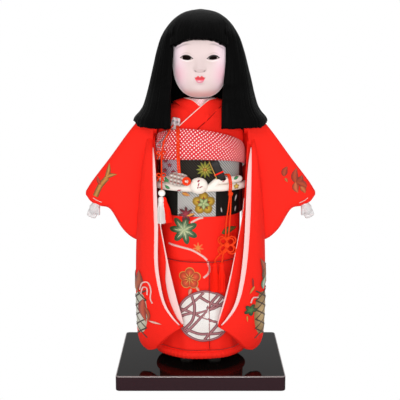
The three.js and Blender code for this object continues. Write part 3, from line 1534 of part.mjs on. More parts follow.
place("purse", purse(), SILVER_CLOTH);
place("purse_chain", chain(), SILVER);
place("pouch_string", cord(POUCH_STRING, STRING_RADIUS, 15), ORANGE_STRING);
place("scent_pouch", pouch(), SILVER_CLOTH);
place("hanging_string", cord(HANGING_STRING, STRING_RADIUS, 10), ORANGE_STRING);
place("bead_string", beadString(), ORANGE_STRING);
place("tassel_bead", bead(), BEAD_WHITE);
place("white_tassel", whiteTassel(), WHITE_THREAD);
place("fan", fan(), FAN_LACQUER);
place("cord_hitch", cord(CORD_HITCH, STRING_RADIUS, 8), ORANGE_STRING);
place("flower_strings", flowerStrings(), ORANGE_STRING);
place("flower_knot", flowerKnot(), ORANGE_STRING);
place("red_tassels", redTassels(), RED_SILK);

const part = new THREE.Group();
part.add(doll);
export default part;
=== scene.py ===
# %% [markdown]
# This lesson builds the looks of a standing ichimatsu doll: a black-haired figure in a red kimono
# on a lacquered board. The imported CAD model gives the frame, so every piece here is laid over a
# CAD piece of the same place and size, in the same metres. Shapes come from short tables and
# formulas, because a doll's dress is made of a few smooth sheets that are easy to write down.

import math

import bmesh
import bpy
import numpy as np
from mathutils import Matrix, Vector


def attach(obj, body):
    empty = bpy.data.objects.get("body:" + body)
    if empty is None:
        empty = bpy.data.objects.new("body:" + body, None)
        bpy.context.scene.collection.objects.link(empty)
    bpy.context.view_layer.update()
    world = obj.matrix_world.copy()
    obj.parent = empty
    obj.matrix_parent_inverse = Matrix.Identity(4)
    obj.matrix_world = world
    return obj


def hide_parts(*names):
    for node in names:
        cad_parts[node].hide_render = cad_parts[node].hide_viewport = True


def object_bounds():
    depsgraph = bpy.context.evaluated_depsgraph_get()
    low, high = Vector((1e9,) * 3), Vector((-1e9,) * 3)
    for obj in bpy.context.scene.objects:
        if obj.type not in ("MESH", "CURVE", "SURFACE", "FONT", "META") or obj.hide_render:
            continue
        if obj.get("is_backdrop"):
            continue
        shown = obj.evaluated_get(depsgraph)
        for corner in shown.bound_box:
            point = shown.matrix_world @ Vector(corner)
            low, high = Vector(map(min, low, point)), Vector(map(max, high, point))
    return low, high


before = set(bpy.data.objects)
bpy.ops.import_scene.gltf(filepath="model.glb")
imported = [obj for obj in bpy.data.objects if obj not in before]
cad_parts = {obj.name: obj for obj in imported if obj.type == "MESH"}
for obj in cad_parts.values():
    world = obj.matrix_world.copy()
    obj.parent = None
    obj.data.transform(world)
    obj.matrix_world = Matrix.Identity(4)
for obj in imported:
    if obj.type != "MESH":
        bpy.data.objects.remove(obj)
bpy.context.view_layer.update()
scene = bpy.context.scene
MM = 0.001
SOLE = 17.0
TURN = 2 * np.pi
BODY = "stand_and_body"
HEAD = "head_group"
SWING = "white_tassel_group"
DROP = "red_tassel_group"
ARMS = {1: "left_arm_group", -1: "right_arm_group"}
SIDES = ((1, "left"), (-1, "right"))
random = np.random.default_rng(11)

# %% [markdown]
# The camera stands a little above the doll's waist height and looks slightly down, with a long
# lens. It could be placed by eye, but a wrong distance would show at once on the board's slanting
# sides. So its place was fitted on the board's corners, whose size the CAD model gives.

# %% Camera
SENSOR_WIDTH, LENS = 36, 90.7
CAMERA_PLACE, LOOK_DOWN = (-0.0006, -1.1475, 0.3899), 9.39
camera_data = bpy.data.cameras.new("camera")
camera_data.sensor_width = SENSOR_WIDTH
camera_data.lens = LENS
camera = bpy.data.objects.new("camera", camera_data)
camera.location = CAMERA_PLACE
camera.rotation_euler = (math.radians(90 - LOOK_DOWN), 0, 0)
scene.collection.objects.link(camera)
scene.camera = camera
scene.view_settings.view_transform = "Standard"
print("camera at", tuple(round(x, 3) for x in camera.location))

# %% [markdown]
# Node trees are long to write out line by line. One helper feeds a socket: a constant goes onto the
# socket itself, and a socket from another node becomes a link. The next makes a node with its
# inputs in one call. Colours are written as six hex digits, because those are easy to compare, and
# the last two helpers turn them into the linear light that shaders expect.

# %% Node helpers
RED = "f22215"


def feed(tree, value, socket):
    if isinstance(value, bpy.types.NodeSocket):
        tree.links.new(value, socket)
    else:
        socket.default_value = value


def add(tree, kind, inputs=None, **settings):
    made = tree.nodes.new("ShaderNode" + kind)
    for key, value in settings.items():
        setattr(made, key, value)
    for key, value in (inputs or {}).items():
        feed(tree, value, made.inputs[key])
    return made


def tone(code):
    parts = [int(code[k : k + 2], 16) / 255 for k in (0, 2, 4)]
    return tuple(c / 12.92 if c < 0.04045 else ((c + 0.055) / 1.055) ** 2.4 for c in parts) + (1.0,)


def tint(code):
    return np.array(tone(code)[:3])


print("red silk in linear light", tint(RED).round(3))

# %% [markdown]
# A pale floor and an even sky stand for a light tent. A tent of real paper would need many lamps to
# look clean. So the floor and the sky are plain white to the camera and in reflections, and a
# softer grey as light on the doll, which keeps the red cloth from being flooded.

# %% Floor and sky
WHITE, PAPER_GREY = (1, 1, 1, 1), (0.8, 0.8, 0.8, 1)
SKY_LIGHT = 0.42
FLOOR_HALF = 4.0


def seen_white(tree):
    rays = add(tree, "LightPath").outputs
    seen = rays["Is Camera Ray"]
    for ray in ("Is Glossy Ray", "Is Transmission Ray"):
        seen = add(tree, "Math", {0: seen, 1: rays[ray]}, operation="MAXIMUM").outputs[0]
    return seen


world = bpy.data.worlds.new("light_tent")
scene.world = world
world.use_nodes = True
sky = world.node_tree
strength = add(sky, "MapRange", {"Value": seen_white(sky), "To Min": SKY_LIGHT, "To Max": 1.0})
sky.nodes["Background"].inputs["Color"].default_value = WHITE
feed(sky, strength.outputs[0], sky.nodes["Background"].inputs["Strength"])

floor_mesh = bpy.data.meshes.new("floor")
floor_corners = [(x * FLOOR_HALF, y * FLOOR_HALF, 0) for x, y in ((-1, -1), (1, -1), (1, 1), (-1, 1))]
floor_mesh.from_pydata(floor_corners, [], [(0, 1, 2, 3)])
floor = bpy.data.objects.new("floor", floor_mesh)
scene.collection.objects.link(floor)
floor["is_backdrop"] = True
paper = bpy.data.materials.new("paper")
paper.use_nodes = True
tree = paper.node_tree
matt = tree.nodes["Principled BSDF"]
matt.inputs["Base Color"].default_value = PAPER_GREY
matt.inputs["Roughness"].default_value = 0.9
lit = add(tree, "Emission", {"Color": WHITE, "Strength": 1.0})
mixed = add(tree, "MixShader", {0: seen_white(tree), 1: matt.outputs[0], 2: lit.outputs[0]})
feed(tree, mixed.outputs[0], tree.nodes["Material Output"].inputs["Surface"])
floor_mesh.materials.append(paper)
print("white tent with a sky light of", SKY_LIGHT)

# %% [markdown]
# Four wide lamps light the doll. Small ones would draw hard shadows, which crepe doesn't show, so
# each is an area lamp of 0.6 to 1 m. The strongest is in front and low, and the others keep the
# sides and the crown of the hair from going flat.

# %% Lamps
LAMPS = {
    "key": {"place": (-0.75, -1.5, 1.15), "aim": (0, 0, 0.24), "wide": 0.9, "watts": 7.5},
    "fill": {"place": (1.1, -1.4, 0.7), "aim": (0, 0, 0.22), "wide": 1.0, "watts": 4.5},
    "front": {"place": (0, -1.9, 0.36), "aim": (0, 0, 0.24), "wide": 0.6, "watts": 16},
    "top": {"place": (0.1, 0.3, 1.5), "aim": (0, 0, 0.3), "wide": 0.9, "watts": 8},
}
for name, lamp in LAMPS.items():
    light = bpy.data.lights.new(name, "AREA")
    light.size, light.energy = lamp["wide"], lamp["watts"]
    hung = bpy.data.objects.new(name, light)
    hung.location = lamp["place"]
    hung.rotation_euler = (Vector(lamp["aim"]) - Vector(lamp["place"])).to_track_quat("-Z", "Y").to_euler()
    scene.collection.objects.link(hung)
print(len(LAMPS), "soft lamps")

# %% [markdown]
# Every cloth piece is a grid of points: rows run along one direction of the cloth and columns along
# the other, as its threads do. Cloth could also be simulated, but then it wouldn't keep to the CAD
# model's sizes. This helper makes the faces, and lays UVs over them in real millimetres, so that
# weaves keep their size on every piece.


# %% Mesh from grids of points
def grid_faces(points, wrap, caps, flip, first):
    rows, cols = points.shape[:2]
    index = np.arange(rows * cols).reshape(rows, cols) + first
    closed = np.concatenate([points, points[:, :1]], 1) if wrap else points
    ring = np.concatenate([index, index[:, :1]], 1) if wrap else index
    across = np.concatenate([[0], np.linalg.norm(np.diff(closed, axis=1), axis=2).mean(0).cumsum()])
    along = np.concatenate([[0], np.linalg.norm(np.diff(closed, axis=0), axis=2).mean(1).cumsum()])
    u, v = np.meshgrid(across, along)
    corner = [np.s_[:-1, :-1], np.s_[:-1, 1:], np.s_[1:, 1:], np.s_[1:, :-1]]
    quads = np.stack([ring[c] for c in corner], -1).reshape(-1, 4)
    uvs = np.stack([np.stack([u[c], v[c]], -1) for c in corner], 2).reshape(-1, 4, 2)
    if flip:
        quads, uvs = quads[:, ::-1], uvs[:, ::-1]
    faces, maps = quads.tolist(), uvs.reshape(-1, 2).tolist()
    if caps:
        for row, turned in ((index[0], not flip), (index[-1], flip)):
            faces.append((row[::-1] if turned else row).tolist())
            maps += [[0.0, 0.0]] * cols
    return faces, maps


print("faces from grids ready")

# %% [markdown]
# A piece is one or more such grids in one mesh, and it rides on the CAD body that it moves with. A
# cloth's wall could be a second grid, but a Solidify modifier makes it in one line. It goes inward,
# so the outer face stays where the table put it.


# %% Pieces on their bodies
def piece(name, grids, coat, body, nodes=(), wrap=False, caps=False, flip=False, paint=None, **kept):
    grids = grids if isinstance(grids, list) else [grids]
    places, faces, maps = [], [], []
    for points in grids:
        made, uv = grid_faces(points, wrap, caps, flip, sum(map(len, places)))
        places.append(points.reshape(-1, 3))
        faces += made
        maps += uv
    mesh = bpy.data.meshes.new(name)
    mesh.from_pydata(((np.concatenate(places) + (0, 0, SOLE)) * MM).tolist(), [], faces)
    mesh.uv_layers.new(name="cloth").data.foreach_set("uv", np.array(maps, float).ravel())
    if paint is not None:
        colours = np.concatenate([paint.reshape(-1, 3), np.ones((paint.size // 3, 1))], 1)
        mesh.attributes.new("paint", "FLOAT_COLOR", "POINT").data.foreach_set("color", colours.ravel())
    return dress(name, mesh, coat, body, nodes, **kept)


def dress(name, mesh, coat, body, nodes=(), thick=0.0, fill=None, slot=None):
    mesh.polygons.foreach_set("use_smooth", np.ones(len(mesh.polygons), bool))
    mesh.materials.append(coat)
    made = bpy.data.objects.new(name + "_look" * (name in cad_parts), mesh)
    scene.collection.objects.link(made)
    if thick:
        wall = made.modifiers.new("wall", "SOLIDIFY")
        wall.thickness, wall.offset = thick * MM, -1
    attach(made, body)
    if nodes:
        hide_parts(nodes)
    return made


print("helpers for pieces ready, with", len(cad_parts), "CAD nodes to lay them on")

# %% [markdown]
# Shapes could be sculpted by hand, but then no number in them could be changed later. A few shaping
# functions take that place: a smooth curve through a table, a soft step, a soft bell, and a signed
# power that squares off a circle.


# %% Shaping functions
def through(rows, at):
    rows = np.asarray(rows, float)
    xs, ys = rows[:, 0], rows[:, 1:]
    slopes = np.empty_like(ys)
    slopes[1:-1] = (ys[2:] - ys[:-2]) / (xs[2:] - xs[:-2])[:, None]
    slopes[0] = (ys[1] - ys[0]) / (xs[1] - xs[0])
    slopes[-1] = (ys[-1] - ys[-2]) / (xs[-1] - xs[-2])
    at = np.clip(np.asarray(at, float), xs[0], xs[-1])
    k = np.clip(np.searchsorted(xs, at) - 1, 0, len(xs) - 2)
    span = (xs[k + 1] - xs[k])[..., None]
    t = (at - xs[k])[..., None] / span
    leave, arrive = slopes[k] * span, slopes[k + 1] * span
    bend = 2 * (ys[k] - ys[k + 1]) + leave + arrive
    rise = 3 * (ys[k + 1] - ys[k]) - 2 * leave - arrive
    out = ((bend * t + rise) * t + leave) * t + ys[k]
    return out[..., 0] if ys.shape[1] == 1 else out


def soft_step(x, low, high):
    t = np.clip((np.asarray(x, float) - low) / (high - low), 0, 1)
    return t * t * (3 - 2 * t)


def power(value, exponent):
    return np.sign(value) * np.abs(value) ** exponent


def bell(x, width):
    return np.exp(-((x / width) ** 2))


def mix(a, b, t):
    return a + (b - a) * t


def round_way(count):
    return np.linspace(0, TURN, count, endpoint=False)


print("shaping functions ready")

# %% [markdown]
# Strings, cords and rings are tubes. Curve objects make tubes too, but with a plain section, and a
# twisted string is grooved. So a path goes smoothly through a few points, the tube's side is
# carried along it without turning by itself, and lobes make the grooves.

# %% Paths and tubes
GROOVE = 0.16


def route(points, count):
    points = np.asarray(points, float)
    along = np.concatenate([[0], np.linalg.norm(np.diff(points, axis=0), axis=1).cumsum()])
    return through(np.column_stack([along, points]), np.linspace(0, along[-1], count))


def headings(path):
    ahead = np.gradient(path, axis=0)
    return ahead / np.linalg.norm(ahead, axis=1)[:, None]


def tube(path, radius, sides=12, lobes=0, turns=0.0):
    path = np.asarray(path, float)
    ahead = headings(path)
    side = np.cross(ahead[0], (0.13, 0.31, 0.94) if abs(ahead[0][2]) < 0.9 else (1, 0.1, 0))
    angle = round_way(sides)
    rings = []
    radius = np.broadcast_to(radius, len(path))
    for k, (point, direction) in enumerate(zip(path, ahead)):
        side = side - direction * (side @ direction)
        side /= np.linalg.norm(side)
        up = np.cross(direction, side)
        phase = lobes * angle + turns * TURN * k / len(path)
        reach = radius[k] * (1 - GROOVE * (1 - np.abs(np.cos(phase / 2))) if lobes else np.ones(sides))
        rings.append(point + np.outer(reach * np.cos(angle), side) + np.outer(reach * np.sin(angle), up))
    return np.array(rings)


print("tubes ready")

# %% [markdown]
# Silk shows its weave as a fine relief and as a change of shade. An image of cloth could give both,
# but a pattern made by nodes stays sharp at any distance and needs no file. The weaves are shared
# as shader groups with the same two outputs: a bent normal, and a shade that multiplies the colour.

# %% Weave groups
BUMP_DISTANCE = 0.0006


def new_group(name, inputs, outputs):
    tree = bpy.data.node_groups.new(name, "ShaderNodeTree")
    for label, value in inputs.items():
        socket = tree.interface.new_socket(label, in_out="INPUT", socket_type="NodeSocketFloat")
        socket.default_value = value
    for label in outputs:
        kind = "NodeSocketVector" if label == "Normal" else "NodeSocketFloat"
        tree.interface.new_socket(label, in_out="OUTPUT", socket_type=kind)
    return tree, tree.nodes.new("NodeGroupInput").outputs, tree.nodes.new("NodeGroupOutput").inputs


def weave_group(name, scale, depth, build):
    tree, given, out = new_group(name, {"Scale": scale, "Depth": depth}, ("Normal", "Shade"))
    height, low, high = build(tree, given["Scale"])
    bump = add(tree, "Bump", {"Strength": given["Depth"], "Distance": BUMP_DISTANCE, "Height": height})
    shade = add(tree, "MapRange", {"Value": height, "To Min": low, "To Max": high})
    tree.links.new(bump.outputs[0], out["Normal"])
    tree.links.new(shade.outputs[0], out["Shade"])
    return tree


def stretched(tree, source, factors, scale):
    spot = add(tree, "TexCoord").outputs[source]
    shaped = add(tree, "VectorMath", {0: spot, 1: factors}, operation="MULTIPLY")
    return add(tree, "VectorMath", {0: shaped.outputs[0], "Scale": scale}, operation="SCALE").outputs[0]


print("recipe for weave groups ready")

# %% [markdown]
# Crepe is a crinkle of overtwisted yarn, so noise stands for it. Twill runs slantwise along the
# UVs, so it is a folded ramp. Thread is satin stitch, so it is a wave. Strands run down a tassel, a
# lock of hair or a length of wood, so they are noise that is stretched along the height.


# %% Four weaves
def crepe_build(tree, scale):
    spot = stretched(tree, "Object", (1, 1, 0.6), scale)
    fine = add(tree, "TexNoise", {"Vector": spot, "Scale": 1.0, "Detail": 3.0, "Roughness": 0.65})
    return fine.outputs[0], 0.84, 1.12


def twill_build(tree, scale):
    spot = add(tree, "SeparateXYZ", {0: stretched(tree, "UV", (1, 1, 0), scale)})
    slant = add(tree, "Math", {0: spot.outputs[0], 1: spot.outputs[1]}, operation="ADD")
    lines = add(tree, "Math", {0: slant.outputs[0], 1: 1.0}, operation="PINGPONG")
    return lines.outputs[0], 0.15, 1.5


def thread_build(tree, scale):
    spot = stretched(tree, "Object", (1, 1, 1), scale)
    wavy = {"Vector": spot, "Scale": 1.0, "Distortion": 1.2}
    lines = add(tree, "TexWave", wavy, bands_direction="DIAGONAL")
    return lines.outputs["Fac"], 0.82, 1.08


def strands_build(tree, scale):
    spot = stretched(tree, "Object", (1, 1, 0.03), scale)
    fine = add(tree, "TexNoise", {"Vector": spot, "Scale": 1.0, "Detail": 4.0, "Roughness": 0.7})
    return fine.outputs[0], 0.75, 1.2


CREPE = weave_group("crepe", 1600, 0.35, crepe_build)
TWILL = weave_group("twill", 0.62, 0.4, twill_build)
THREAD = weave_group("thread", 900, 0.5, thread_build)
STRANDS = weave_group("strands", 1500, 0.8, strands_build)
print("weave groups:", [g.name for g in bpy.data.node_groups])

# %% [markdown]
# A finish is a colour, a roughness and one of the weaves with its own scale and depth. Where the
# colour changes over a piece, as on brocade or on the face, it is painted on the vertices and the
# finish reads that paint. The grids are fine enough to hold it, so no image is needed.

# %% Finishes from a colour and a weave
PAINT = "paint"


def finish(name, colour, rough, weave=None, scale=None, depth=None, **sockets):
    made = bpy.data.materials.new(name)
    made.use_nodes = True
    tree = made.node_tree
    surface = tree.nodes["Principled BSDF"]
    surface.inputs["Roughness"].default_value = rough
    for label, value in sockets.items():
        surface.inputs[label.replace("_", " ").title().replace("Ior", "IOR")].default_value = value
    if colour == PAINT:
        base = add(tree, "Attribute", attribute_name=PAINT).outputs["Color"]
    else:
        base = tone(colour)
    if weave:
        cloth = add(tree, "Group", None, node_tree=weave)
        for key, value in (("Scale", scale), ("Depth", depth)):
            if value is not None:
                cloth.inputs[key].default_value = value
        tree.links.new(cloth.outputs["Normal"], surface.inputs["Normal"])
        shading = {"Factor": 1.0, 6: base, 7: cloth.outputs["Shade"]}
        base = add(tree, "Mix", shading, data_type="RGBA", blend_type="MULTIPLY").outputs[2]
    feed(tree, base, surface.inputs["Base Color"])
    return made


print("recipe for finishes ready")

# %% [markdown]
# The dress is dull crepe, so most finishes have a low specular level. Face and hands are gofun, a
# paint of ground shell that is rubbed to a soft sheen. Lacquer is nearly black under a clear gloss,
# and its index of refraction is kept low, because a white tent would turn it grey.

# %% Finishes of the doll
red_silk = finish("red_silk", RED, 0.75, CREPE, specular_ior_level=0.15)
# a dark red that is painted shade: on the padded arms and along the lapels' outer edges
red_painted_shade = finish("red_silk_shade", "8e0d08", 0.8, CREPE, specular_ior_level=0.1)
lining = finish("lining_silk", "efc3bf", 0.6, CREPE, depth=0.2)
white_cotton = finish("white_cotton", "efe6e0", 0.8, CREPE, scale=2200)
string_silk = finish("string_silk", "f03c0c", 0.6, THREAD, 1500, 0.3, specular_ior_level=0.15)
white_thread = finish("white_thread", "e6dfdc", 0.6, STRANDS, depth=0.5)
red_thread = finish("red_thread", "fb1e06", 0.65, STRANDS, depth=0.5, specular_ior_level=0.12)
gofun = finish("gofun", PAINT, 0.5, sheen_weight=0.7, sheen_roughness=0.45, specular_ior_level=0.25)
skin = finish("gofun_plain", "cbc7c7", 0.5)
glass = finish("eye_glass", PAINT, 0.25, specular_ior_level=0.02)
hair_silk = finish("hair_silk", "020202", 0.45, STRANDS, 2600, 0.5, specular_ior_level=0.03)
brocade = finish("brocade", PAINT, 0.7, TWILL, specular_ior_level=0.1)
silver_brocade = finish("silver_brocade", PAINT, 0.45, THREAD, scale=1400, metallic=0.1)
silver = finish("silver", "8f8f94", 0.25, metallic=1.0)
pearl = finish("pearl", "f4efe8", 0.18, coat_weight=0.4)
cord_silk = finish("cord_silk", "efe4da", 0.65, CREPE, scale=1900)
lacquer = finish("lacquer", "0d0a09", 0.05, ior=1.085)
# the top edge's grey is a painted highlight, not the lacquer's own colour
lacquer_edge_highlight = finish("lacquer_edge_highlight", "776a69", 0.12)
lacquer_side = finish("lacquer_side", "302024", 0.15, ior=1.1)
black_lacquer = finish("fan_lacquer", "120c09", 0.3, specular_ior_level=0.1)
bare_wood = finish("bare_wood", "b98b5a", 0.6, STRANDS, 500, 0.3)
steel = finish("steel", "a8a9ab", 0.32, metallic=1.0)
stuffing = finish("stuffing", "d6c8a8", 0.9, CREPE)
print(len(bpy.data.materials), "finishes")

# %% [markdown]
# Six orange strings hang on the doll. Two go from the chest to the scent pouch, one goes to the
# upper bow and one on to the bead, and two hold the flower knot. Each is twisted silk, so its
# section has two lobes that turn along the path, and a round tube would look like wire.

# %% Strings
STRING_RADIUS, STRING_TWIST = 0.9, 3.4
BEAD_X, BEAD_Y = -43.2, -39
DROP_Y = -46.6
POUCH_STRING = [
    (-25.6, -33.4, 271.5), (-25.2, -37, 271.2), (-25, -41.6, 268.8), (-24.8, -45.4, 263.5),
    (-24.7, -47.6, 255), (-24.6, -48.3, 244), (-24.2, -49.6, 232), (-23.4, -51.2, 221.4),
]
HANGING_STRING = [
    (-30.6, -33.4, 272.5), (-32.4, -37, 270.6), (-35.4, -40.2, 264.5), (-39.4, -40.2, 257),
    (-42.2, -39.3, 247), (BEAD_X, BEAD_Y, 237),
]
BEAD_STRING = [(BEAD_X, BEAD_Y, 236.6), (BEAD_X, BEAD_Y, 219), (BEAD_X, BEAD_Y, 199)]
FLOWER_LEFT = [(28, DROP_Y, 148.8), (28.6, -46.9, 165), (31, -47.2, 184), (32.6, -46.8, 199.2)]
FLOWER_RIGHT = [(31, DROP_Y, 148.8), (32.4, -46.9, 165), (33.4, -46.4, 184), (33.8, -46.4, 199.2)]


def string(name, points, body, nodes=(), shift=(0, 0, 0)):
    path = route(np.asarray(points, float) + shift, 90)
    long = np.linalg.norm(np.diff(path, axis=0), axis=1).sum()
    twisted = tube(path, STRING_RADIUS, 14, 2, long / STRING_TWIST)
    made = piece(name, twisted, string_silk, body, nodes, wrap=True, caps=True)


string("pouch_string_outer", POUCH_STRING, BODY, "pouch_string", (-0.95, 0, 0))
string("pouch_string_inner", POUCH_STRING, BODY, shift=(0.95, 0.2, 0))
string("hanging_string", HANGING_STRING, BODY, "hanging_string")
string("bead_string", BEAD_STRING, SWING, "bead_string")
string("flower_string_left", FLOWER_LEFT, DROP, "flower_strings")
string("flower_string_right", FLOWER_RIGHT, DROP)
print("six strings,", 2 * STRING_RADIUS, "mm across")

# %% [markdown]
# The board is lacquered wood, one slab with a small rounded edge. A bevelled box makes it, because
# its faces stay flat and mirror evenly. The thin top edge has a finish of its own: a grey painted
# highlight, standing for the bright line of the lamps along it.

# %% Board
BOARD_WIDE, BOARD_DEEP, BOARD_HIGH = 188, 168, 17
BOARD_CORNER, BOARD_RIM = 5, 1.2
TOP_COAT, HIGHLIGHT_EDGE_COAT, SIDE_COAT = 0, 1, 2
SMALL_FACE = 3e-4


def board():
    maker = bmesh.new()
    bmesh.ops.create_cube(maker, size=1.0)
    for vert in maker.verts:
        x, y, z = vert.co
        vert.co = Vector((x * BOARD_WIDE, y * BOARD_DEEP, z * BOARD_HIGH + BOARD_HIGH / 2)) * MM
    corners = [e for e in maker.edges if abs(e.verts[0].co.z - e.verts[1].co.z) > 0.01]
    bmesh.ops.bevel(maker, geom=corners, offset=BOARD_CORNER * MM, segments=8, affect="EDGES", profile=0.5)
    rims = [e for e in maker.edges if abs(e.calc_face_angle(0)) > 1.2]
    trim = bmesh.ops.bevel(maker, geom=rims, offset=BOARD_RIM * MM, segments=3, affect="EDGES", profile=0.6)
    for face in maker.faces:
        face.material_index = SIDE_COAT if abs(face.normal.z) < 0.5 else TOP_COAT
    for face in trim["faces"]:
        face.material_index = HIGHLIGHT_EDGE_COAT if face.calc_center_median().z > 0.01 else SIDE_COAT
    mesh = bpy.data.meshes.new("board")
    maker.to_mesh(mesh)
    maker.free()
    dress("board", mesh, lacquer, BODY, "base_board", slot="lacquer")
    for coat in (lacquer_edge_highlight, lacquer_side):
        mesh.materials.append(coat)
    mesh.polygons.foreach_set("use_smooth", np.array([p.area < SMALL_FACE for p in mesh.polygons]))
    print("board with", len(mesh.polygons), "faces")


board()

# %% [markdown]
# Inside the dress are a stuffed body, two legs, two padded arms on wires, and a wooden post that
# holds the doll up. They keep their CAD shapes and only get a finish, because the dress covers
# them. The padded arms are painted shade, a dark red, since only a shaded under-sleeve shows at
# the armhole.


# %% Inner pieces
def recoat(node, coat):
    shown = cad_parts[node]
    shown.data.materials.clear()
    shown.data.materials.append(coat)
    return shown


INNER_PIECES = {
    "support_post": bare_wood, "post_screw": steel, "torso": stuffing, "left_leg": skin, "right_leg": skin,
    "left_arm_wire": steel, "right_arm_wire": steel, "left_arm": red_painted_shade, "right_arm": red_painted_shade,
}
for node, coat in INNER_PIECES.items():
    recoat(node, coat)
print(len(INNER_PIECES), "inner pieces")

# %% [markdown]
# The head is a carved or cast core with a coat of gofun. It could be sculpted, but formulas keep
# both sides alike and the size exact. It is a ball pulled into a rounded square, longer below than
# above, and soft bells push the nose, lips and cheeks out and the eye sockets in.

# %% Head shape
HEAD_MIDDLE = 345.0
FACE_X = -0.7
EYE_X, EYE_Z, EYE_HALF, EYE_OPEN = 14.6, 346.7, 5.9, 1.9
HEAD_HALF, HEAD_UP, HEAD_DOWN, PLAN = 31.6, 45.0, 43.5, 3.2
FACE_REACH, NAPE_REACH, CHIN_FORWARD = 40, 37, 9
MOUTH_Z = 324.2


def jaw(level):
    return np.where(level > 0, 2.5, 2.42)


def almond(x, z):
    side = np.abs(x - FACE_X) - EYE_X
    across = np.clip(side / EYE_HALF, -1, 1)
    rim = EYE_OPEN * (1 - across**2) ** 0.72
    middle = EYE_Z - 0.9 + 0.4 * across
    beyond = np.clip(np.abs(side) - EYE_HALF, 0, None)
    return np.where(z > middle, rim * 1.4, rim * 0.62) - np.hypot(z - middle, beyond), z > middle


def face_relief(x, z):
    off = x - FACE_X
    bridge = 4.2 * np.clip((352 - z) / 17, 0, 1) ** 1.5
    nose = bridge * soft_step(z - 0.05 * off**2, 329.4, 335.2) * bell(off, 4.8)
    wings = 1.3 * bell(np.abs(off) - 4.8, 2.2) * bell(z - 334.2, 2.4)
    part = 0.8 * bell(z - MOUTH_Z, 0.8) * bell(off, 5.2)
    lips = 1.8 * (bell(z - MOUTH_Z - 2, 2) + bell(z - MOUTH_Z + 2.3, 2.2)) * bell(off, 5) - part
    side = np.abs(off)
    sockets = -1.8 * bell(side - EYE_X, 9) * bell(z - EYE_Z, 6.5)
    cheeks = 1.5 * bell(side - 17, 10) * bell(z - 326, 10)
    chin = 1.4 * bell(off, 8) * bell(z - 309, 6) - 0.8 * bell(off, 6) * bell(z - 316, 3)
    depth = almond(x, z)[0]
    lid = 0.75 * bell(depth + 0.9, 0.9) * np.where(z > EYE_Z, 1.2, 0.7) * bell(side - EYE_X, 8)
    recess = -1.5 * soft_step(depth, -0.15, 0.5)
    return nose + wings + lips + sockets + cheeks + chin + lid + recess


print("relief at the tip of the nose", float(face_relief(FACE_X, 335.0).round(2)), "mm")

# %% [markdown]
# The rows and columns of the head's grid crowd on the face, because lids and lips are small, and
# they are few behind, where the hair covers them. A plain ball would spend as many points on the
# nape as on the mouth.


# %% Head grid
def head_points(level, turn, relief=face_relief):
    around = (1 - np.abs(level) ** jaw(level)) ** (1 / jaw(level))
    reach = np.where(np.cos(turn) > 0, FACE_REACH, NAPE_REACH)
    x = HEAD_HALF * around * power(np.sin(turn), 2 / PLAN)
    y = -reach * around * power(np.cos(turn), 2 / PLAN)
    z = np.where(level > 0, HEAD_UP, HEAD_DOWN) * level
    y = y - CHIN_FORWARD * np.clip(-level, 0, 1) ** 2
    z = z + HEAD_MIDDLE
    return np.stack([x, y - np.where(y < 0, relief(x, z), 0), z], -1)


front = np.arcsin(power(np.linspace(-0.97, 0.97, 260), PLAN / 2))
behind = np.linspace(front[-1], TURN + front[0], 60)[1:-1]
under, over = -np.cos(np.linspace(0.06, 0.75, 24)), np.sin(np.linspace(0.47, 1.52, 30))
levels = np.concatenate([under, np.linspace(-0.725, 0, 130), np.linspace(0.002, 0.448, 96), over])
level, turn = np.meshgrid(levels, np.concatenate([front, behind]), indexing="ij")
head_grid = head_points(level, turn)
print("head grid", head_grid.shape[:2])
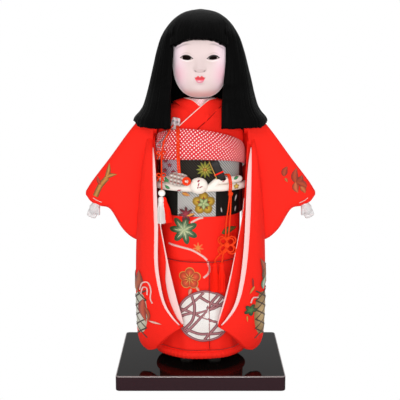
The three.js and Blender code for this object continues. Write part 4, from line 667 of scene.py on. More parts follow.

# %% [markdown]
# The face is painted in thin layers, as on the real doll, and some of them are painted light: a
# lilac tone toward the sides, which is also lighter there as painted light against the shade the
# sides fall in, a blush, a painted red reflection and a painted shadow at the chin, painted shade
# beside and under the nose and in the nostrils, the lips with a painted highlight on the lower lip
# and a painted shadow under it, the brows, and the lids with a painted highlight under each eye.
# Each layer is a colour and how much of it lies at each point. The relief's own heights place the
# paint, so that the two can't drift apart.

# %% Face paint
x, y, z = (head_grid[..., k] for k in range(3))
off = x - FACE_X
side = np.abs(off)
depth, above = almond(x, z)
under_nose = z - 331.0 - 0.05 * np.clip(side, 0, 6.5) ** 2
rise = z - (MOUTH_Z + 0.8 * np.clip(side / 6, 0, 1) ** 2)
upper = through([(0, 1.2), (1.9, 2.8), (3.6, 1.4), (5.8, 0.0)], side) * (side < 5.8)
lower = through([(0, 5.0), (2.7, 4.6), (4.4, 2.9), (5.5, 0.0)], side) * (side < 5.5)
in_lower = soft_step(rise, -lower - 0.3, -lower + 0.3) * (rise <= 0) * (side < 5.5)
in_upper = soft_step(-rise, -upper - 0.3, -upper + 0.3) * (rise > 0) * (side < 5.8)
brow = through([(8, 360.6), (13, 361.4), (18, 360.4), (25, 357), (28, 354.6)], side)
brow_fades = soft_step(side, 8, 16) * soft_step(-side, -28, -24)
LAYERS = [
    # lilac tone toward the sides, lighter there as painted light against the shade they fall in
    ("f1d9e2", 0.95 * soft_step(side, 10, 28)),
    ("e68fa4", 0.5 * bell(side - 26, 9) * bell(z - 328, 11)),
    # painted red reflection of the kimono on the chin
    ("d98c82", 0.6 * soft_step(-z, -314, -303.5)),
    # painted shadow under the chin
    ("8c4a42", 0.75 * soft_step(-z, -304.6, -302.2)),
    # painted shade beside the nose
    ("cdb7b5", 0.4 * bell(off + 4.4, 1.7) * bell(z - 339, 6)),
    # painted shade under the nose, and in the next layer painted shade in the nostrils
    ("a78d8c", 0.5 * bell(under_nose, 0.6) * soft_step(-side, -7, -6)),
    ("6d5354", 0.85 * bell(side - 4.9, 1.0) * bell(under_nose, 0.8)),
    ("dc7c92", 0.95 * in_lower),
    ("de3a45", 0.95 * in_lower * soft_step(rise, -3.2, -1.0)),
    # painted highlight on the lower lip
    ("fde3e8", 0.8 * bell(off + 0.6, 1.8) * bell(rise + 3.0, 0.7)),
    ("dc2c36", 0.97 * in_upper),
    ("a8242e", 0.8 * bell(rise, 0.4) * soft_step(-side, -6.6, -5.4)),
    # painted shadow under the lower lip
    ("c3a5ab", 0.5 * bell(off, 4) * bell(rise + 6.2, 0.9)),
    ("574a49", 0.42 * bell(z - brow, 0.9) * brow_fades),
    ("b59d9b", 0.6 * bell(depth + 3.4, 0.5) * above * bell(side - EYE_X, 7)),
    # painted highlight along the lower lid
    ("fdf3f1", 0.6 * bell(depth + 1.5, 0.6) * ~above * bell(side - EYE_X, 6)),
    ("5e463f", 0.7 * soft_step(depth, -0.6, 0.0)),
    ("120807", 0.99 * soft_step(depth, -1.8, -1.1) * above),
]
paint = np.broadcast_to(tint("d6c2c0"), head_grid.shape).copy()
for colour, share in LAYERS:
    paint = mix(paint, tint(colour), np.clip(share, 0, 1)[..., None])
piece("head", head_grid, gofun, HEAD, "head", wrap=True, caps=True, paint=paint, slot="gofun")
print("face in", len(LAYERS), "layers of paint")

# %% [markdown]
# Each eye is a dark glass lens set just behind the lids. A whole ball would suit an eye that rolls,
# but these are fixed, so a shallow lens is enough. It follows the head's own curve without the
# recess, which makes it fill the almond opening. Its white is painted greyish and its corners dark,
# as painted shade of the lids. The neck is a short tube under the chin, painted dark as shade.

# %% Eyes and neck
EYE_MARGIN = 0.5
NECK_LINE, NECK_RADIUS = [(0, 0, 284), (0, -0.5, 296), (0, -1.5, 310)], 11


def eye(side, node):
    u, v = np.meshgrid(np.linspace(-1, 1, 40), np.linspace(-1, 1, 20))
    across = np.where(u > 0, 1, -1) * np.abs(u) ** 0.9
    x = FACE_X + side * (EYE_X + across * (EYE_HALF + EYE_MARGIN))
    z = EYE_Z + 0.5 * across + v * (EYE_OPEN + 0.6) * np.sqrt(np.clip(1.02 - u**2, 0, 1))
    level = (z - HEAD_MIDDLE) / np.where(z > HEAD_MIDDLE, HEAD_UP, HEAD_DOWN)
    round_ = np.arcsin(np.clip(power(x / HEAD_HALF, PLAN / 2), -1, 1))
    grid = head_points(level, round_, lambda x, z: 0 * x)
    grid[..., 1] += 2.4 - 1.3 * (1 - u**2) * (1 - 0.6 * v**2)
    # the white is painted greyish and the corners dark, as painted shade of the lids
    white, iris, corner = map(tint, ("b9a6a2", "0e0504", "3a2a27"))
    far = np.hypot(across * (EYE_HALF + EYE_MARGIN) + 0.4, (z - EYE_Z - 0.4))
    paint = mix(iris, white, soft_step(far, 4.1, 4.8)[..., None])
    paint = mix(paint, corner, soft_step(far, 5.4, 7.0)[..., None])
    piece(node, grid, glass, HEAD, node, thick=0.8, paint=paint, slot="eye_glass")


eye(1, "left_eye")
eye(-1, "right_eye")
# the neck's colour is painted shade, far darker than gofun, for the shadow under the chin
neck_shade = finish("gofun_neck_painted_shade", "7a5a54", 0.7, specular_ior_level=0.1)
piece("neck", tube(NECK_LINE, NECK_RADIUS, 32), neck_shade, HEAD, wrap=True, caps=True)
print("head, eyes and neck")

# %% [markdown]
# The wig is fine hair, sewn to a cap and cut straight at the shoulders. Hair curves could draw each
# strand, but a part that others use again needs one closed shell. So it is a bell-shaped sheet, and
# a table gives its outline at each height.

# %% Hair
# Rows of HAIR are height, half width, reach in front and reach behind
HAIR = [
    (268, 76, 51, 52.5), (273, 76.8, 51, 53), (279, 75, 51, 53), (286, 69, 50.5, 53), (293, 65, 50, 53),
    (308, 60.5, 50, 52.5), (322, 57, 50, 52), (338, 53, 49.5, 51), (354, 49, 48, 49), (370, 43.5, 43, 44.5),
    (384, 34.5, 34.5, 35.5), (393, 24.5, 25, 25.5), (398, 13.5, 14, 14), (400, 0.3, 0.3, 0.3),
]
HAIR_POWER = 2.2
WIG_LOW, WIG_HIGH = 269.5, 399.95
FRINGE_LOW, FRINGE_HIGH = 368.2, 399.9
SIDE_CUT, TUCK_BACK = 6.0, 15.0
OPENING_LEFT = [(262, 23), (300, 24), (325, 26.6), (345, 28.2), (366, 28)]
OPENING_RIGHT = [(262, 33.6), (300, 34), (325, 32.6), (345, 31.6), (366, 31)]
print("hair", 2 * max(row[1] for row in HAIR), "mm across at its widest")

# %% [markdown]
# Hair lies in fine vertical strands, so every column of the grid gets its own small step in or out
# and its own cut length. Neighbouring columns share a clump, because steps that are all by chance
# would look like noise.


# %% Hair sheets
def strands(count, clumps, size):
    at = np.linspace(0, clumps, count)
    knots = random.normal(0, 1, clumps + 2)
    low = np.floor(at).astype(int)
    return size * mix(knots[low], knots[low + 1], soft_step(at - low, 0, 1))


def hair_point(turn, height, out, back):
    half, front_, back_ = np.moveaxis(through(HAIR, height), -1, 0)
    reach = np.where(np.cos(turn) > 0, front_, back_) + out
    x = (half + out) * power(np.sin(turn), 2 / HAIR_POWER)
    y = -reach * power(np.cos(turn), 2 / HAIR_POWER)
    beside = soft_step(height, 296, 320) * (1 - soft_step(height, 362, 376))
    return np.stack([x, y + back * beside * np.clip(-y / 50, 0, 1) ** 2, height + 0 * turn], -1)


def edge_turn(table, height):
    half = through(HAIR, height)[..., 0]
    edge = np.minimum(through(table, height), 0.78 * half)
    return np.arcsin(np.clip(edge / half, 0, 1) ** (HAIR_POWER / 2))


def wig_span(height):
    return edge_turn(OPENING_LEFT, height), TURN - edge_turn(OPENING_RIGHT, height)


def fringe_span(height):
    return -edge_turn(OPENING_RIGHT, height) * 1.06 - 0.02, edge_turn(OPENING_LEFT, height) * 1.06 + 0.02


def hair_sheet(low, high, rows, cols, span, out, ragged, clumps, side_cut=0.0, back=0.0):
    share = np.linspace(0, 1, rows)[:, None]
    trim = strands(cols, clumps, ragged)[None, :]
    height = low + trim * (1 - share) ** 3 + (high - low) * share**0.9
    start, stop = span(height)
    turn = start + (stop - start) * np.linspace(0, 1, cols)[None, :]
    height = height + side_cut * soft_step(np.abs(np.sin(turn)), 0.86, 1.0) * (1 - share) ** 3
    comb = strands(cols, clumps, 0.16) + strands(cols, clumps * 3, 0.1) + random.normal(0, 0.05, cols)
    fade = np.clip((high - height) / 30, 0.15, 1)
    wave = 0.25 * np.sin(height / 17 + 9 * turn)
    return hair_point(turn, height, out + (comb[None, :] + wave) * fade, back)


print("recipe for hair ready")

# %% [markdown]
# The wig is open in front, round the face. The fringe is a second sheet over the brow, a little in
# front of the first, because its lower edge is cut on a line of its own, which bends down toward
# the temples.

# %% Wig and fringe
wig_grid = hair_sheet(WIG_LOW, WIG_HIGH, 90, 620, wig_span, 0, 0.5, 150, SIDE_CUT, TUCK_BACK)
piece("wig", wig_grid, hair_silk, HEAD, "wig", thick=3.6, slot="hair")
fringe_grid = hair_sheet(FRINGE_LOW, FRINGE_HIGH, 50, 260, fringe_span, 0.7, 0.3, 70)
arch = 5.2 * np.abs((fringe_grid[..., 0] + 1) / 26) ** 2.4
fringe_grid[..., 2] -= arch * soft_step(-fringe_grid[..., 2], -390, -366)
piece("fringe", fringe_grid, hair_silk, HEAD, "fringe", thick=6.0, slot="hair")
print("hair in", wig_grid.shape[1] + fringe_grid.shape[1], "strand columns")

# %% [markdown]
# The robe goes round a padded, oval body. Layers that are modelled one by one would soon cut each
# other. So one table gives the oval's half width and half depth at each height, and each layer of
# cloth lies a little further out than the one below it. The flat size of each cloth is measured on
# its own grid.

# %% Body oval and cloth
OVAL = [
    (0, 44, 38.5), (133, 38, 34.5), (240, 37.5, 32.5), (262, 42, 29), (276, 43.5, 25), (285, 37.5, 21),
    (292, 22, 16.5),
]
ROBE_OUT, KIMONO_OUT, TUCK_OUT, OBI_OUT = 1.95, 5.1, 8.85, 10.25
heights, halves, depths = np.array(OVAL, float).T


def oval(turn, height, out):
    lift = out * soft_step(height, 240, 288)
    half, deep = np.interp(height, heights, halves) + out, np.interp(height, heights, depths) + out
    return np.stack(np.broadcast_arrays(half * np.cos(turn), deep * np.sin(turn), height + lift), -1)


def rings(levels, count, start=90):
    turn = np.radians(start + np.linspace(0, 360, count, endpoint=False))
    return np.meshgrid(turn, np.asarray(levels, float))


def cloth(name, grid, coat, thick, on=(), held="hung", wrap=True, slot="red_silk", **kept):
    made = piece(name, grid, coat, BODY, name, wrap=wrap, thick=thick, slot=slot, **kept)


turn, level = rings(np.linspace(9, 172, 40), 96)
cloth("under_robe", oval(turn, level, ROBE_OUT), lining, 0.8, on=("torso",), slot="lining_silk")

# %% [markdown]
# The kimono is a skirt, a bodice and the fold that is tucked up at the waist. Shallow waves stand
# for the fall of the cloth, because a simulated fall wouldn't stay inside the CAD box. The open
# front edge is a small step in the outer layer, and the hem is a padded roll with fine gathers.

# %% Kimono
WRAP_EDGE = -78.5
SKIRT_LOW, SKIRT_HIGH = 9.5, 172.4
BODICE_LOW, BODICE_HIGH = 232, 292
HEM_MIDDLE, HEM_HALF = 10.8, 4.2


def skirt_out(turn, level):
    from_edge = ((np.degrees(turn) - WRAP_EDGE) % 360) / 360
    fall = 1 - soft_step(level, 60, 140)
    wave = 0.9 * fall * (1 + np.cos(7 * turn + 0.6)) + 0.35 * fall * np.sin(16 * turn + level / 26)
    step = 1.1 * (1 - from_edge) ** 3 * (1 - soft_step(level, 118, 128))
    return KIMONO_OUT + wave + step - 0.6


def stuffed(name, grid, coat, fill, slot, caps=True, **kept):
    piece(name, grid, coat, BODY, name, wrap=True, caps=caps, fill=fill, slot=slot, **kept)


def tuck_out(turn, level):
    return TUCK_OUT - 1.2 + 0.5 * np.sin(9 * turn + level / 14) * (1 - soft_step(level, 128, 168))


turn, level = rings(np.linspace(SKIRT_LOW, SKIRT_HIGH, 110), 360, WRAP_EDGE)
cloth("kimono_skirt", oval(turn, level, skirt_out(turn, level)), red_silk, 1.4)

turn, level = rings(np.linspace(BODICE_LOW, BODICE_HIGH, 48), 260)
crease = 0.35 * np.sin(level / 5.5 + 2.5 * np.sin(2 * turn)) * (1 - soft_step(level, 262, 282))
crease = crease + 3.8 * bell(level - 252, 10) * np.cos(turn) ** 4
bodice_grid = oval(turn, level, KIMONO_OUT - 0.3 + crease)
throat = bell(bodice_grid[..., 0], 11) * (np.sin(turn) < 0)
bodice_grid[..., 2] -= 13 * throat * soft_step(level, 274, BODICE_HIGH)
cloth("kimono_bodice", bodice_grid, red_silk, 1.6, on=("torso",))

turn, level = rings(np.concatenate([[121.0], np.linspace(120.2, 122.5, 5), np.linspace(124, 172, 46)]), 300)
round_hem = np.concatenate([[-2.2], np.linspace(-1.0, 0.0, 5), np.zeros(46)])[:, None]
cloth("waist_tuck", oval(turn, level, tuck_out(turn, level) + round_hem), red_silk, 1.5)

roll_turn, around = rings(round_way(20), 320, -88)
hem_out = KIMONO_OUT - 1.2 + 1.4 * (1 + np.cos(7 * roll_turn + 0.6)) * 0.45
hem_out = hem_out + 3.2 * np.cos(around) + 0.25 * np.sin(60 * roll_turn)
hem = oval(roll_turn, HEM_MIDDLE + HEM_HALF * np.sin(around), hem_out + 0.8)
stuffed("hem_roll", np.concatenate([hem, hem[:1]]), red_silk, 0.8, "red_silk", caps=False)
print("kimono from bodice to hem")

# %% [markdown]
# The scarf and the under collar are tie-dyed crepe: little knots leave rows of pale squares.
# Squares in the mesh would need a very fine grid, so a shader group draws one and repeats it
# slantwise along the UVs. The same pattern lifts the cloth, so each square is a small puff. A slow
# drift keeps the rows from being ruled lines.

# %% Tie-dyed crepe
DRIFT_SCALE, DRIFT = 0.07, 2.4
SLANT = 0.72
KNOT_END, DYE_START = 0.15, 0.24


def tie_dye_group():
    tree, given, out = new_group("tie_dye_squares", {"Pitch": 2.9}, ("Normal", "Dyed"))

    def step(operation, *values):
        return add(tree, "VectorMath", dict(enumerate(values)), operation=operation).outputs[0]

    flat = add(tree, "TexCoord").outputs["UV"]
    drift = add(tree, "TexNoise", {"Vector": flat, "Scale": DRIFT_SCALE, "Detail": 1.0})
    bent = step("MULTIPLY_ADD", drift.outputs["Color"], (DRIFT, DRIFT, 0), flat)
    density = add(tree, "Math", {0: 1.0, 1: given["Pitch"]}, operation="DIVIDE").outputs[0]
    turned = add(tree, "Mapping", {"Vector": bent, "Rotation": (0, 0, SLANT), "Scale": density})
    middle = step("SUBTRACT", step("FRACTION", turned.outputs[0]), (0.5, 0.5, 0))
    apart = add(tree, "SeparateXYZ", {0: step("ABSOLUTE", middle)}).outputs
    far = add(tree, "Math", {0: apart[0], 1: apart[1]}, operation="MAXIMUM").outputs[0]
    dyed = add(tree, "MapRange", {"Value": far, "From Min": KNOT_END, "From Max": DYE_START})
    lifted = {"Value": far, "From Min": 0.1, "From Max": 0.5, "To Min": 1.0, "To Max": 0.0}
    puff = add(tree, "MapRange", lifted).outputs[0]
    bump = add(tree, "Bump", {"Strength": 0.6, "Distance": BUMP_DISTANCE, "Height": puff})
    tree.links.new(bump.outputs[0], out["Normal"])
    tree.links.new(dyed.outputs[0], out["Dyed"])
    return tree


TIE_DYE = tie_dye_group()
print("group", TIE_DYE.name, "with", len(TIE_DYE.nodes), "nodes")

# %% [markdown]
# The two tie-dyed cloths differ only in their colours and in how close the squares lie, so one
# function makes both finishes from the shared group.


# %% Tie-dyed finishes
def tie_dyed(name, pitch, dye, knot):
    made = bpy.data.materials.new(name)
    made.use_nodes = True
    tree = made.node_tree
    surface = tree.nodes["Principled BSDF"]
    surface.inputs["Roughness"].default_value = 0.75
    squares = add(tree, "Group", None, node_tree=TIE_DYE)
    squares.inputs["Pitch"].default_value = pitch
    both = {"Factor": squares.outputs["Dyed"], 6: tone(knot), 7: tone(dye)}
    colour = add(tree, "Mix", both, data_type="RGBA")
    tree.links.new(colour.outputs[2], surface.inputs["Base Color"])
    tree.links.new(squares.outputs["Normal"], surface.inputs["Normal"])
    return made


print("recipe for tie-dyed finishes ready")

# %% [markdown]
# Lapels are long folded bands, the right one under and the left one over. They could be cut from
# the bodice, but a band of its own gives a soft raised edge. Each is a grid between an inner and an
# outer edge line. A fine cream piping runs along the free edge, and a thin dark red tube of painted
# shade along the sewn edge, where the lapel meets the bodice.

# %% Lapels
LAPEL_IN = [
    (0.4, 22, 296), (13, 18, 300), (19, 4, 301), (16, -12.5, 300.6), (9, -21.5, 299.4), (0, -26.5, 292.4),
    (-11, -30.6, 283), (-20, -32, 275), (-28, -31, 267),
]
LAPEL_OUT = [
    (0.4, 29, 284), (20, 24, 289.5), (31, 4, 296), (30, -9, 297), (23, -18.8, 292.5), (10, -28.6, 280),
    (-2, -33, 269.5), (-10, -34.8, 260), (-17, -34, 252),
]
PIPING_RADIUS, EDGE_SHADE_RADIUS = 0.5, 0.4
piping = finish("cream_piping", "f8dcd2", 0.6, THREAD, 1600, 0.3)


def lapel(name, count, mirror, sink, piped):
    inner, outer = route(LAPEL_IN[:count], 120), route(LAPEL_OUT[:count], 120)
    share = np.linspace(0, 1, 22)[:, None, None]
    grid = inner[None] * (1 - share) + outer[None] * share
    grid[..., 1] -= 1.1 * np.sin(np.pi * share[..., 0]) ** 0.7 - sink
    grid[..., 2] += 0.5 * np.sin(np.pi * share[..., 0])
    edge = inner + (0, sink - 0.4, 0.1)
    # a thin dark tube along the outer edge: painted shade where the lapel meets the bodice
    edge_shade = outer + (0, sink - 0.3, 0)
    if mirror:
        for points in (grid, edge, edge_shade):
            points[..., 0] *= -1
    cloth(name, grid, red_silk, 1.6, on=("kimono_bodice",), wrap=False, flip=mirror)
    piece(name + "_piping", tube(edge[piped], PIPING_RADIUS, 10), piping, BODY, wrap=True, caps=True)
    piece(name + "_seam", tube(edge_shade[50:], EDGE_SHADE_RADIUS, 8), red_painted_shade, BODY, wrap=True, caps=True)


lapel("right_lapel", 7, True, 1.6, slice(54, 97))
lapel("left_lapel", 9, False, 0.0, slice(44, None))
print("lapels with", len(LAPEL_IN), "points a side")

# %% [markdown]
# The under collar stands round the neck as a pale oval, with a notch in front where its ends cross.
# It is a stack of rings like the robe, because one term in the formula then makes the notch.

# %% Under collar
COLLAR_LOW, COLLAR_HIGH = 286, 301.0
COLLAR_HALF, COLLAR_DEEP, COLLAR_FLARE = 16, 14.6, 0.8
turn, share = rings(np.linspace(0, 1, 24), 160)
before = np.sin(turn) < 0
notch = np.clip(1 - np.abs(COLLAR_HALF * np.cos(turn)) / 9.5, 0, 1) * before
forward = 1 + 0.42 * bell(COLLAR_HALF * np.cos(turn), 9) * before
collar = np.stack([
    (COLLAR_HALF + COLLAR_FLARE * share) * np.cos(turn),
    (COLLAR_DEEP + COLLAR_FLARE * share) * np.sin(turn) * forward,
    mix(COLLAR_LOW, COLLAR_HIGH - 0.5 * notch, share),
], -1)
collar_dye = tie_dyed("collar_dye", 2.4, "fbc3c6", "ffffff")
cloth("under_collar", collar, collar_dye, 1.3, on=("torso",), slot="cotton")
print("under collar", COLLAR_HIGH - COLLAR_LOW, "mm high")

# %% [markdown]
# A long sleeve is two shapes. Over the arm it is a flat bag whose top edge slopes down to the hand.
# In front of the body it hangs as a tall pocket that is open along its inner edge, so the pale
# lining shows there twice: once on the front layer's edge and once on the back layer's. Tables give
# the edges, across for the arm and by height for the pocket, because a table can be mended point by
# point.

# %% Sleeve tables
ARM_IN, ARM_END = 49.6, 131.6
ARM_TOP = [(ARM_IN, 284), (60, 281.5), (73.5, 272.5), (105, 231), (125, 205), (ARM_END, 194.5)]
ARM_LOW = [
    (ARM_IN, 260), (52.8, 258), (54, 240), (57, 212), (61, 185), (66, 158), (70, 141), (76, 138), (90, 150),
    (104, 173), (116, 177), (126, 182), (ARM_END, 189.5),
]
ARM_DEEP = [(ARM_IN, 13), (80, 13), (118, 11.5), (127, 9.5), (ARM_END, 5)]
ARM_ROUND = 0.72
BAG_REACH = 72.0
BAG_FRONT = [(0, 51), (190, 51), (220, 46), (240, 35), (252, 22), (258, 14)]
BAG_LOW, BAG_TIP, BAG_HIGH = 13.5, 46.5, 258
BAG_IN = [
    (BAG_LOW, 58), (14.8, 54.5), (18.5, 50), (24.5, 45), (33, 37.5), (42, 27), (BAG_TIP, 20.5), (56, 22),
    (78, 28.5), (110, 36.5), (150, 44.5), (183, 50), (BAG_HIGH, 54),
]
BAG_SLIT = [
    (BAG_TIP, 21.5), (56, 31), (68, 39.5), (84, 45), (113, 50), (150, 54), (183, 55.5), (BAG_HIGH, 58),
]
BAG_OUT = [
    (BAG_LOW, 61), (14.8, 66.5), (18.5, 71), (24.5, 73.6), (33, 75), (60, 75.8), (110, 75.6), (150, 74.4),
    (185, 71.6), (215, 68), (240, 65), (BAG_HIGH, 63),
]
BAG_DEEP = [(BAG_LOW, 1.6), (20, 3.4), (31, 5), (100, 6), (180, 5), (BAG_HIGH, 3.4)]
SLIT_PUFF = 0.72
SLIT_SHIFT = {1: 1.0, -1: 4.6}
INNER_FOLD = {
    1: [(222, 48.9), (224, 53.2), (232, 53.2), (241, 50.4), (247, 49.2)],
    -1: [(228, 48.9), (230, 53.2), (244, 53.2), (254, 50.4), (259, 49.2)],
}
print("sleeve tables,", BAG_HIGH - BAG_LOW, "mm tall in the pocket")

# %% [markdown]
# The hanging pocket follows an oval in front of the body. Each of its two layers is that oval,
# pushed out or in by half the pocket's thickness, which fades to nothing at the outer fold. One
# function makes both layers, so they meet there without a seam.


# %% Sleeve surfaces
def bag_point(x, out, height):
    deep = through(BAG_FRONT, height)
    turn = np.arccos(np.clip(x / BAG_REACH, -1, 1))
    normal = np.stack([np.cos(turn) / BAG_REACH, -np.sin(turn) / deep], -1)
    normal /= np.linalg.norm(normal, axis=-1)[..., None]
    place = np.stack([BAG_REACH * np.cos(turn), -deep * np.sin(turn)], -1) + out[..., None] * normal
    return np.concatenate([place, (height + 0 * x)[..., None]], -1)


def bag_span(height, edge):
    outer = np.minimum(through(BAG_OUT, height) - 0.75 * through(BAG_DEEP, height), BAG_REACH - 0.1)
    return np.arccos(np.clip(edge / BAG_REACH, 0, 1)), np.arccos(outer / BAG_REACH)


def bag_layer(height, edge, share, sign, lift=0.0):
    # share runs from the slit to the fold, and sign is 1 for the front layer
    start, stop = bag_span(height, edge)
    x = BAG_REACH * np.cos(mix(start, stop, share))
    puff = through(BAG_DEEP, height) * mix(SLIT_PUFF, 1, soft_step(share, 0, 0.5))
    puff = puff * np.sqrt(np.clip(1 - share**8, 0, 1))
    sway = 0.5 * np.sin(height / 23 + 5 * share) * soft_step(height, 10, 60) * (1 - share)
    return bag_point(x, sign * puff + sway + lift, height)


def slit_edge(height, side):
    inner = through(BAG_IN, height)
    slit = through(BAG_SLIT, height) - SLIT_SHIFT[side] * soft_step(height, 105, 165)
    return np.where(height > BAG_TIP, np.where(height < 105, np.maximum(slit, inner), slit), inner)


def back_edge(height, side):
    return np.minimum(through(BAG_IN, height), slit_edge(height, side) - 1)


def arm_section(x, turn):
    top, low, deep = (through(table, x) for table in (ARM_TOP, ARM_LOW, ARM_DEEP))
    y = deep * power(np.cos(turn), ARM_ROUND) - 1
    z = (top + low) / 2 + (top - low) / 2 * power(np.sin(turn), ARM_ROUND)
    return np.stack(np.broadcast_arrays(x, y, z), -1)


def sided(grid, side):
    return grid * (side, 1, 1)


print("sleeve surfaces ready")

# %% [markdown]
# A sleeve is one width of silk, folded at its outer edge. So the pocket is one grid that runs along
# the front layer, round the fold and back. The arm part is a closed bag over the padded arm, and a
# gusset joins the pocket to the armhole, where one could look through otherwise.


def sleeve(side, word):
    reach = np.concatenate([np.linspace(ARM_IN, 62, 22), np.linspace(63, ARM_END, 56)])
    turn, x = np.meshgrid(round_way(72), reach)
    arm_grid = arm_section(x, turn)
    crush = np.sin((arm_grid[..., 2] - 0.9 * x) / 7.0) * soft_step(-x, -100, -66) * soft_step(x, 56, 66)
    arm_grid[..., 1] += 0.5 * crush
    look = {"coat": red_silk, "body": ARMS[side], "slot": "red_silk"}
    piece(f"{word}_sleeve_arm", sided(arm_grid, side), wrap=True, caps=True, flip=side > 0, **look)
    share, height = np.meshgrid(np.linspace(0, 1, 46), mix(BAG_LOW, BAG_HIGH, np.linspace(0, 1, 130) ** 1.5))
    front_ = bag_layer(height, slit_edge(height, side), share, 1)
    back_ = bag_layer(height, back_edge(height, side), share, -1)
    bag_grid = np.concatenate([front_, back_[:, ::-1]], 1)
    share, height = np.meshgrid(np.linspace(0, 1, 30), np.linspace(118, 262, 60))
    inner = np.interp(height, *np.transpose(INNER_FOLD[side]))
    x = inner + (56 - inner) * (1 - share) ** 1.6
    gusset = np.stack([x, mix(3 - 0.628 * through(BAG_FRONT, height), 10, share), height], -1)
    grids = [sided(bag_grid, side), sided(gusset, side)]
    bag = piece(f"{word}_sleeve_bag", grids, nodes=f"{word}_sleeve", thick=1.0, flip=side < 0, **look)


print("recipe for sleeves ready")

# %% [markdown]
# On the real sleeve the lining is a whole second bag. Only its edges show, so two strips are
# enough: a lip along the front layer's edge, and a fold along the back layer's. Their widths come
# from tables, because the lining is widest low down and runs out toward the top.

# %% Sleeve linings
LINING_LOW, LINING_HIGH = 48.5, 246
LIP_SHOWS = [(LINING_LOW, 0.8), (62, 2.4), (110, 3.6), (196, 3.6), (226, 2.6), (LINING_HIGH, 0.3)]
INNER_SHOWS = [
    (LINING_LOW, 2.0), (57, 6), (75, 8.5), (96, 7.5), (110, 4), (122, 1.4), (150, 0.8), (LINING_HIGH, 0.4),
]
LIP_SHARE = {1: 1.25, -1: 0.9}
LIP_INSIDE = 2.5
INNER_SHARE = {1: 0.16, -1: 1.0}
INNER_HIDDEN = 0.7


def sleeve_lining(side, word):
    share, height = np.meshgrid(np.linspace(0, 1, 12), np.linspace(LINING_LOW, LINING_HIGH, 100))
    deep = SLIT_PUFF * through(BAG_DEEP, height)
    lip_wide = LIP_INSIDE + LIP_SHARE[side] * through(LIP_SHOWS, height)
    lip_x = slit_edge(height, side) + LIP_INSIDE - lip_wide * share
    lip = bag_point(lip_x, deep - 1.3 - 1.0 * share**2, height)
    closing = 1 - soft_step(height, 150, 190)
    fold_wide = INNER_SHARE[side] * through(INNER_SHOWS, height) + INNER_HIDDEN
    fold_x = back_edge(height, side) + closing * (fold_wide * share - INNER_HIDDEN)
    fold = bag_point(fold_x, -deep + 0.4 + closing * (1 + 0.5 * np.sin(np.pi * share)), height)
    name, grids = f"{word}_sleeve_lining", [sided(lip, side), sided(fold, side)]
    made = piece(name, grids, lining, ARMS[side], name, thick=0.5, flip=side < 0, slot="lining_silk")


for side_, word in SIDES:
    sleeve(side_, word)
    sleeve_lining(side_, word)
print("two sleeves with their linings")

# %% [markdown]
# Hands and feet are small carved pieces, the feet in white split-toe socks. They could be sculpted,
# but the CAD solids have the right places already. So a remesh and a smoothing pass on them is
# enough to round the facets into fingers and toes.

# %% Hands and feet
HAND_GRAIN, SOCK_GRAIN = 0.55, 0.8
SMOOTHING, SMOOTH_PASSES = 0.5, 8
for kind, coat, grain in (("hand", skin, HAND_GRAIN), ("sock", white_cotton, SOCK_GRAIN)):
    for word in ("left", "right"):
        shown = recoat(f"{word}_{kind}", coat)
        rounder = shown.modifiers.new("rounder", "REMESH")
        rounder.mode, rounder.voxel_size, rounder.use_smooth_shade = "VOXEL", grain * MM, True
        soften = shown.modifiers.new("soften", "SMOOTH")
        soften.factor, soften.iterations = SMOOTHING, SMOOTH_PASSES
print("hands and socks rounded")

# %% [markdown]
# The obi is a stiff band of brocade, woven in large dark and pale squares. Straight borders are
# easy to write as conditions, so the squares are painted on the vertices, and the twill group draws
# the slanting weave over them. Gold flowers come later, as stitching.

# %% Obi band
OBI_LOW, OBI_HIGH, OBI_RIM = 171.0, 240.0, 1.6
SQUARE_LINE = 204
BACK_SQUARE, BACK_TALL = 30, 34.5


def obi_colours(x, level, front_side):
    black, grey, plum, wine = map(tint, ("161310", "b4b2ae", "b59fa9", "4b1c20"))
    paint = np.broadcast_to(black, x.shape + (3,)).copy()
    lower = level < SQUARE_LINE
    paint[lower & (x > -25.5) & (x < 17)] = grey
    paint[~lower & (x > -23.5)] = black * 3.4
    paint[~lower & (x < -23.5)] = plum
    paint[~lower & (x > 19)] = grey * 0.85
    paint[np.abs(x) > 43.5] = wine
    square = (np.floor(x / BACK_SQUARE + 0.5) + np.floor(level / BACK_TALL)) % 2 == 0
    paint[~front_side & square] = grey
    paint[~front_side & ~square] = black
    return paint


def obi_sag(turn, level):
    return 0.25 * np.sin(5 * turn + level / 30)


rim = np.array([0, 0.05, 0.2, 0.5]) * 2
inside = np.linspace(OBI_LOW + OBI_RIM, OBI_HIGH - OBI_RIM, 78)
turn, level = rings(np.concatenate([OBI_LOW + rim, inside, OBI_HIGH - rim[::-1]]), 480)
tucked = OBI_RIM * np.clip(1 - np.minimum(level - OBI_LOW, OBI_HIGH - level) / OBI_RIM, 0, 1) ** 2
obi_grid = oval(turn, level, OBI_OUT - tucked + obi_sag(turn, level))
paint = obi_colours(obi_grid[..., 0], level, np.sin(turn) < 0.15)
cloth("obi_band", obi_grid, brocade, 2.0, ("waist_tuck",), "stretched", slot="brocade", paint=paint)
print("obi", round(OBI_HIGH - OBI_LOW), "mm high")

# %% [markdown]
# The scarf above the obi is soft crepe, folded to a roll along the band's top edge. Folding a sheet
# would hide most of it, so a closed tube is enough. It is fullest in the middle, with a few folds
# pressed into it.

